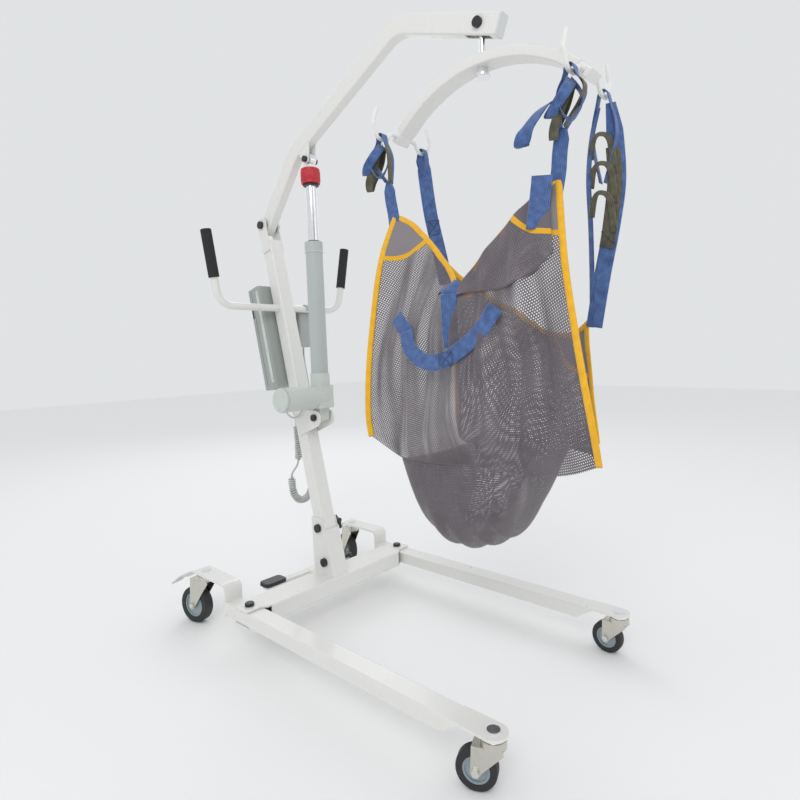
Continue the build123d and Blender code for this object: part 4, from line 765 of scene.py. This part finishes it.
thread = tape_material("dark_thread", (0.03, 0.05, 0.13), (0.015, 0.025, 0.07))
stitch_box("stitch_far_rear", (0.0815, -0.070, 1.08), (-1, -0.6, 0.05), (0, 0, 1), 0.038, 0.028, thread)
stitch_box("stitch_olive", (0.0795, -0.541, 0.985), (-1, -0.55, 0.05), (0.05, 0.1, 1), 0.030, 0.024, thread)
stitch_box("stitch_cross", (-0.1935, -0.318, 0.7405), (-1, -0.15, 0.1), (0, 1, -0.1), 0.030, 0.028, thread)


# ---------------------------------------------------------------- control unit trim
# The moulded box behind the mast has a pale clamping strip down each side, held by four screws, a latch slot
# and a parting line where its two halves meet.
def plate(name, middle, u, v, size, thick, radius, body, material, round_off=0.25):
    """A raised plate: rounded rectangles stacked along its normal u x v, the top one drawn in by a small
    round."""
    u, v = (np.array(w, float) / np.linalg.norm(w) for w in (u, v))
    normal = np.cross(u, v)
    turn = np.linspace(0, 2 * np.pi, 33)[:-1]
    power = 0.28
    lap = np.stack([np.sign(np.cos(turn)) * np.abs(np.cos(turn)) ** power,
                    np.sign(np.sin(turn)) * np.abs(np.sin(turn)) ** power], axis=1)
    levels = [(0, 0.0), (0, 1 - round_off), (0.35, 1 - 0.3 * round_off), (1, 1.0)]
    rings = [np.array(middle) + ((size[0] / 2 - inset * radius) * lap[:,
                                                                      :1] * u
                                 + (size[1] / 2 - inset * radius) * lap[:, 1:] * v
                                 + height * thick * normal) for inset, height in levels]
    obj = bpy.data.objects.new(name, grid_mesh(name, np.array(rings), wrap=True, caps=True))
    return link(obj, body, material)


def turned(name, middle, axis, profile, body, material, lobes=0, depth=0.0, count=48):
    """A surface of revolution: the (radius, height) profile carried round the axis, its radius waved by the
    lobes."""
    axis = np.array(axis, float) / np.linalg.norm(axis)
    side = np.cross(axis, (0.0, 1.0, 0.0) if abs(axis[1]) < 0.9 else (1.0, 0.0, 0.0))
    side /= np.linalg.norm(side)
    other = np.cross(axis, side)
    turn = np.arange(count) * 2 * np.pi / count
    round_ = np.cos(turn)[:, None] * side + np.sin(turn)[:, None] * other
    profile = np.array(profile, float)
    radius = profile[:, :1] + depth * np.abs(np.sin(turn * lobes / 2))[None] * (profile[:,
                                                                                        :1] > 0.6
                                                                                * profile[:, 0].max())
    points = np.array(middle) + radius[..., None] * round_[None] + profile[:, 1, None, None] * axis
    obj = bpy.data.objects.new(name, grid_mesh(name, points, wrap=True, caps=True))
    return link(obj, body, material)


def screw(name, middle, axis, radius, body):
    """A pan head with a small recess: a low dome turned about its axis."""
    r = radius
    return turned(name, middle, axis, [(r, 0), (r, 0.25 * r), (0.82 * r, 0.5 * r), (0.45 * r, 0.6 * r),
                                       (0.36 * r, 0.6 * r),
                                       (0.3 * r, 0.3 * r)], body, looks["bolt_steel"], count=20)


mast_up = np.array((0, 0.260725, 0.965413))
mast_back = np.array((0, 0.965413, -0.260725))
unit_middle = np.array((0, 0.5207, 0.8075))
dark_seam = skin("dark_seam", (0.03, 0.032, 0.03), (0.05, 0.05, 0.05), 0.7)
for sign, side in ((-1, "right"), (1, "left")):
    wall_at = unit_middle + (sign * 0.0618, 0, 0)
    first, second = (mast_up, mast_back) if np.cross(mast_up, mast_back)[0] * sign > 0 else (mast_back,
                                                                                             mast_up)

    def sized(length, width):
        return (length, width) if first is mast_up else (width, length)
    plate(f"unit_strip_{side}", wall_at - mast_back * 0.020, first, second, sized(0.298, 0.013), 0.0018,
          0.0008, "root",
          looks["actuator_grey"])
    plate(f"unit_seam_{side}", wall_at + mast_back * 0.010, first, second, sized(0.312, 0.0014), 0.0004,
          0.0002, "root",
          dark_seam)
    plate(f"unit_latch_{side}", wall_at + mast_back * 0.019 + mast_up * 0.090, first, second,
          sized(0.044, 0.007), 0.0008,
          0.0005, "root", dark_seam)
    for index, along_mast in enumerate((-0.135, -0.045, 0.045, 0.135)):
        screw(f"unit_screw_{side}_{index}", wall_at - mast_back * 0.020 + mast_up * along_mast
              + (sign * 0.0017, 0, 0),
              (sign, 0, 0), 0.0034, "root")

# ---------------------------------------------------------------- handset label
# A blank white label sits under the two buttons on the handset's face.
shell_low, shell_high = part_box("handset")
key_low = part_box("down_button")[0]
label_top = min(key_low.z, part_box("up_button")[0].z) - 0.006
face_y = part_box("up_button")[0].y + 0.004
plate("handset_label", ((shell_low.x + shell_high.x) / 2, face_y, label_top - 0.014), (1, 0, 0), (0, 0, 1),
      (0.030, 0.024),
      0.0005, 0.0002, "root", skin("blank_label", (0.85, 0.85, 0.84), (0.78, 0.78, 0.76), 0.4))

# ---------------------------------------------------------------- actuator trim
# The gearbox cover is held by four screws, the motor has a raised end ring, and the rod passes a black
# wiper seal at the tube's top. A black ring and a ribbed red sleeve sit at the rod's upper end.
screw_pin = np.array((0, 0.311, 0.567))
rod_way = np.array((0, 0.034613, 0.999401))
rod_side = np.array((0, 0.999401, -0.034613))
for index, (a, b) in enumerate(((-1, -1), (1, -1), (-1, 1), (1, 1))):
    screw(f"gearbox_screw_{index}", screw_pin + rod_way * (0.060 + 0.024 * a) + rod_side * 0.022 * b
          + (0.0268, 0, 0),
          (1, 0, 0), 0.0034, "actuator")
motor_middle = np.array((0, 0.313, 0.627))
turned("motor_end_ring", motor_middle + (-0.136, 0, 0), (-1, 0, 0),
       [(0.0344, 0), (0.0356, 0.0006), (0.0360, 0.002), (0.0356, 0.0034), (0.0344, 0.004)], "actuator",
       looks["tube_grey"])
for index in range(3):
    angle = 2.1 * index + 0.5
    screw(f"motor_screw_{index}", motor_middle + (-0.1468, 0.024 * np.cos(angle), 0.024 * np.sin(angle)),
          (-1, 0, 0),
          0.0030, "actuator")
turned("rod_wiper", screw_pin + rod_way * 0.5195, rod_way,
       [(0.0215, 0), (0.0215, 0.002), (0.0185, 0.0045), (0.0162, 0.005)],
       "actuator", black)
turned("tube_band", screw_pin + rod_way * 0.488, rod_way,
       [(0.0250, 0), (0.0272, 0.0005), (0.0274, 0.0020), (0.0272, 0.0035), (0.0250, 0.004)], "actuator",
       looks["actuator_grey"])
collar_foot = screw_pin + rod_way * 0.6935
turned("collar_ring", collar_foot - rod_way * 0.0052, rod_way,
       [(0.0170, 0), (0.0225, 0), (0.0235, 0.001), (0.0235, 0.004), (0.0225, 0.005), (0.0170, 0.005)],
       "collar",
       black)
turned("collar_ribs", collar_foot + rod_way * 0.008, rod_way,
       [(0.0276, 0), (0.0281, 0.001), (0.0281, 0.028), (0.0276, 0.029)], "collar",
       looks["collar_red"],
       lobes=40, depth=0.0008, count=240)

# ---------------------------------------------------------------- boss cap
# A pale dished cap of moulded plastic closes the boss under the middle of the spreader bar. It is pressed in, and
# turns with the bar.
boss_low, boss_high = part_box("spreader_boss")
boss_middle = np.array(((boss_low.x + boss_high.x) / 2, (boss_low.y + boss_high.y) / 2, boss_low.z + 0.0005))
boss_r = (boss_high.x - boss_low.x) / 2
turned("boss_cap", boss_middle, (0, 0, -1),
       [(boss_r * 0.96, 0), (boss_r * 0.98, 0.0015), (boss_r * 0.88, 0.0028), (boss_r * 0.70, 0.0030),
        (boss_r * 0.62, 0.0018),
        (boss_r * 0.2, 0.0014)], "spreader", looks["cap_light"])
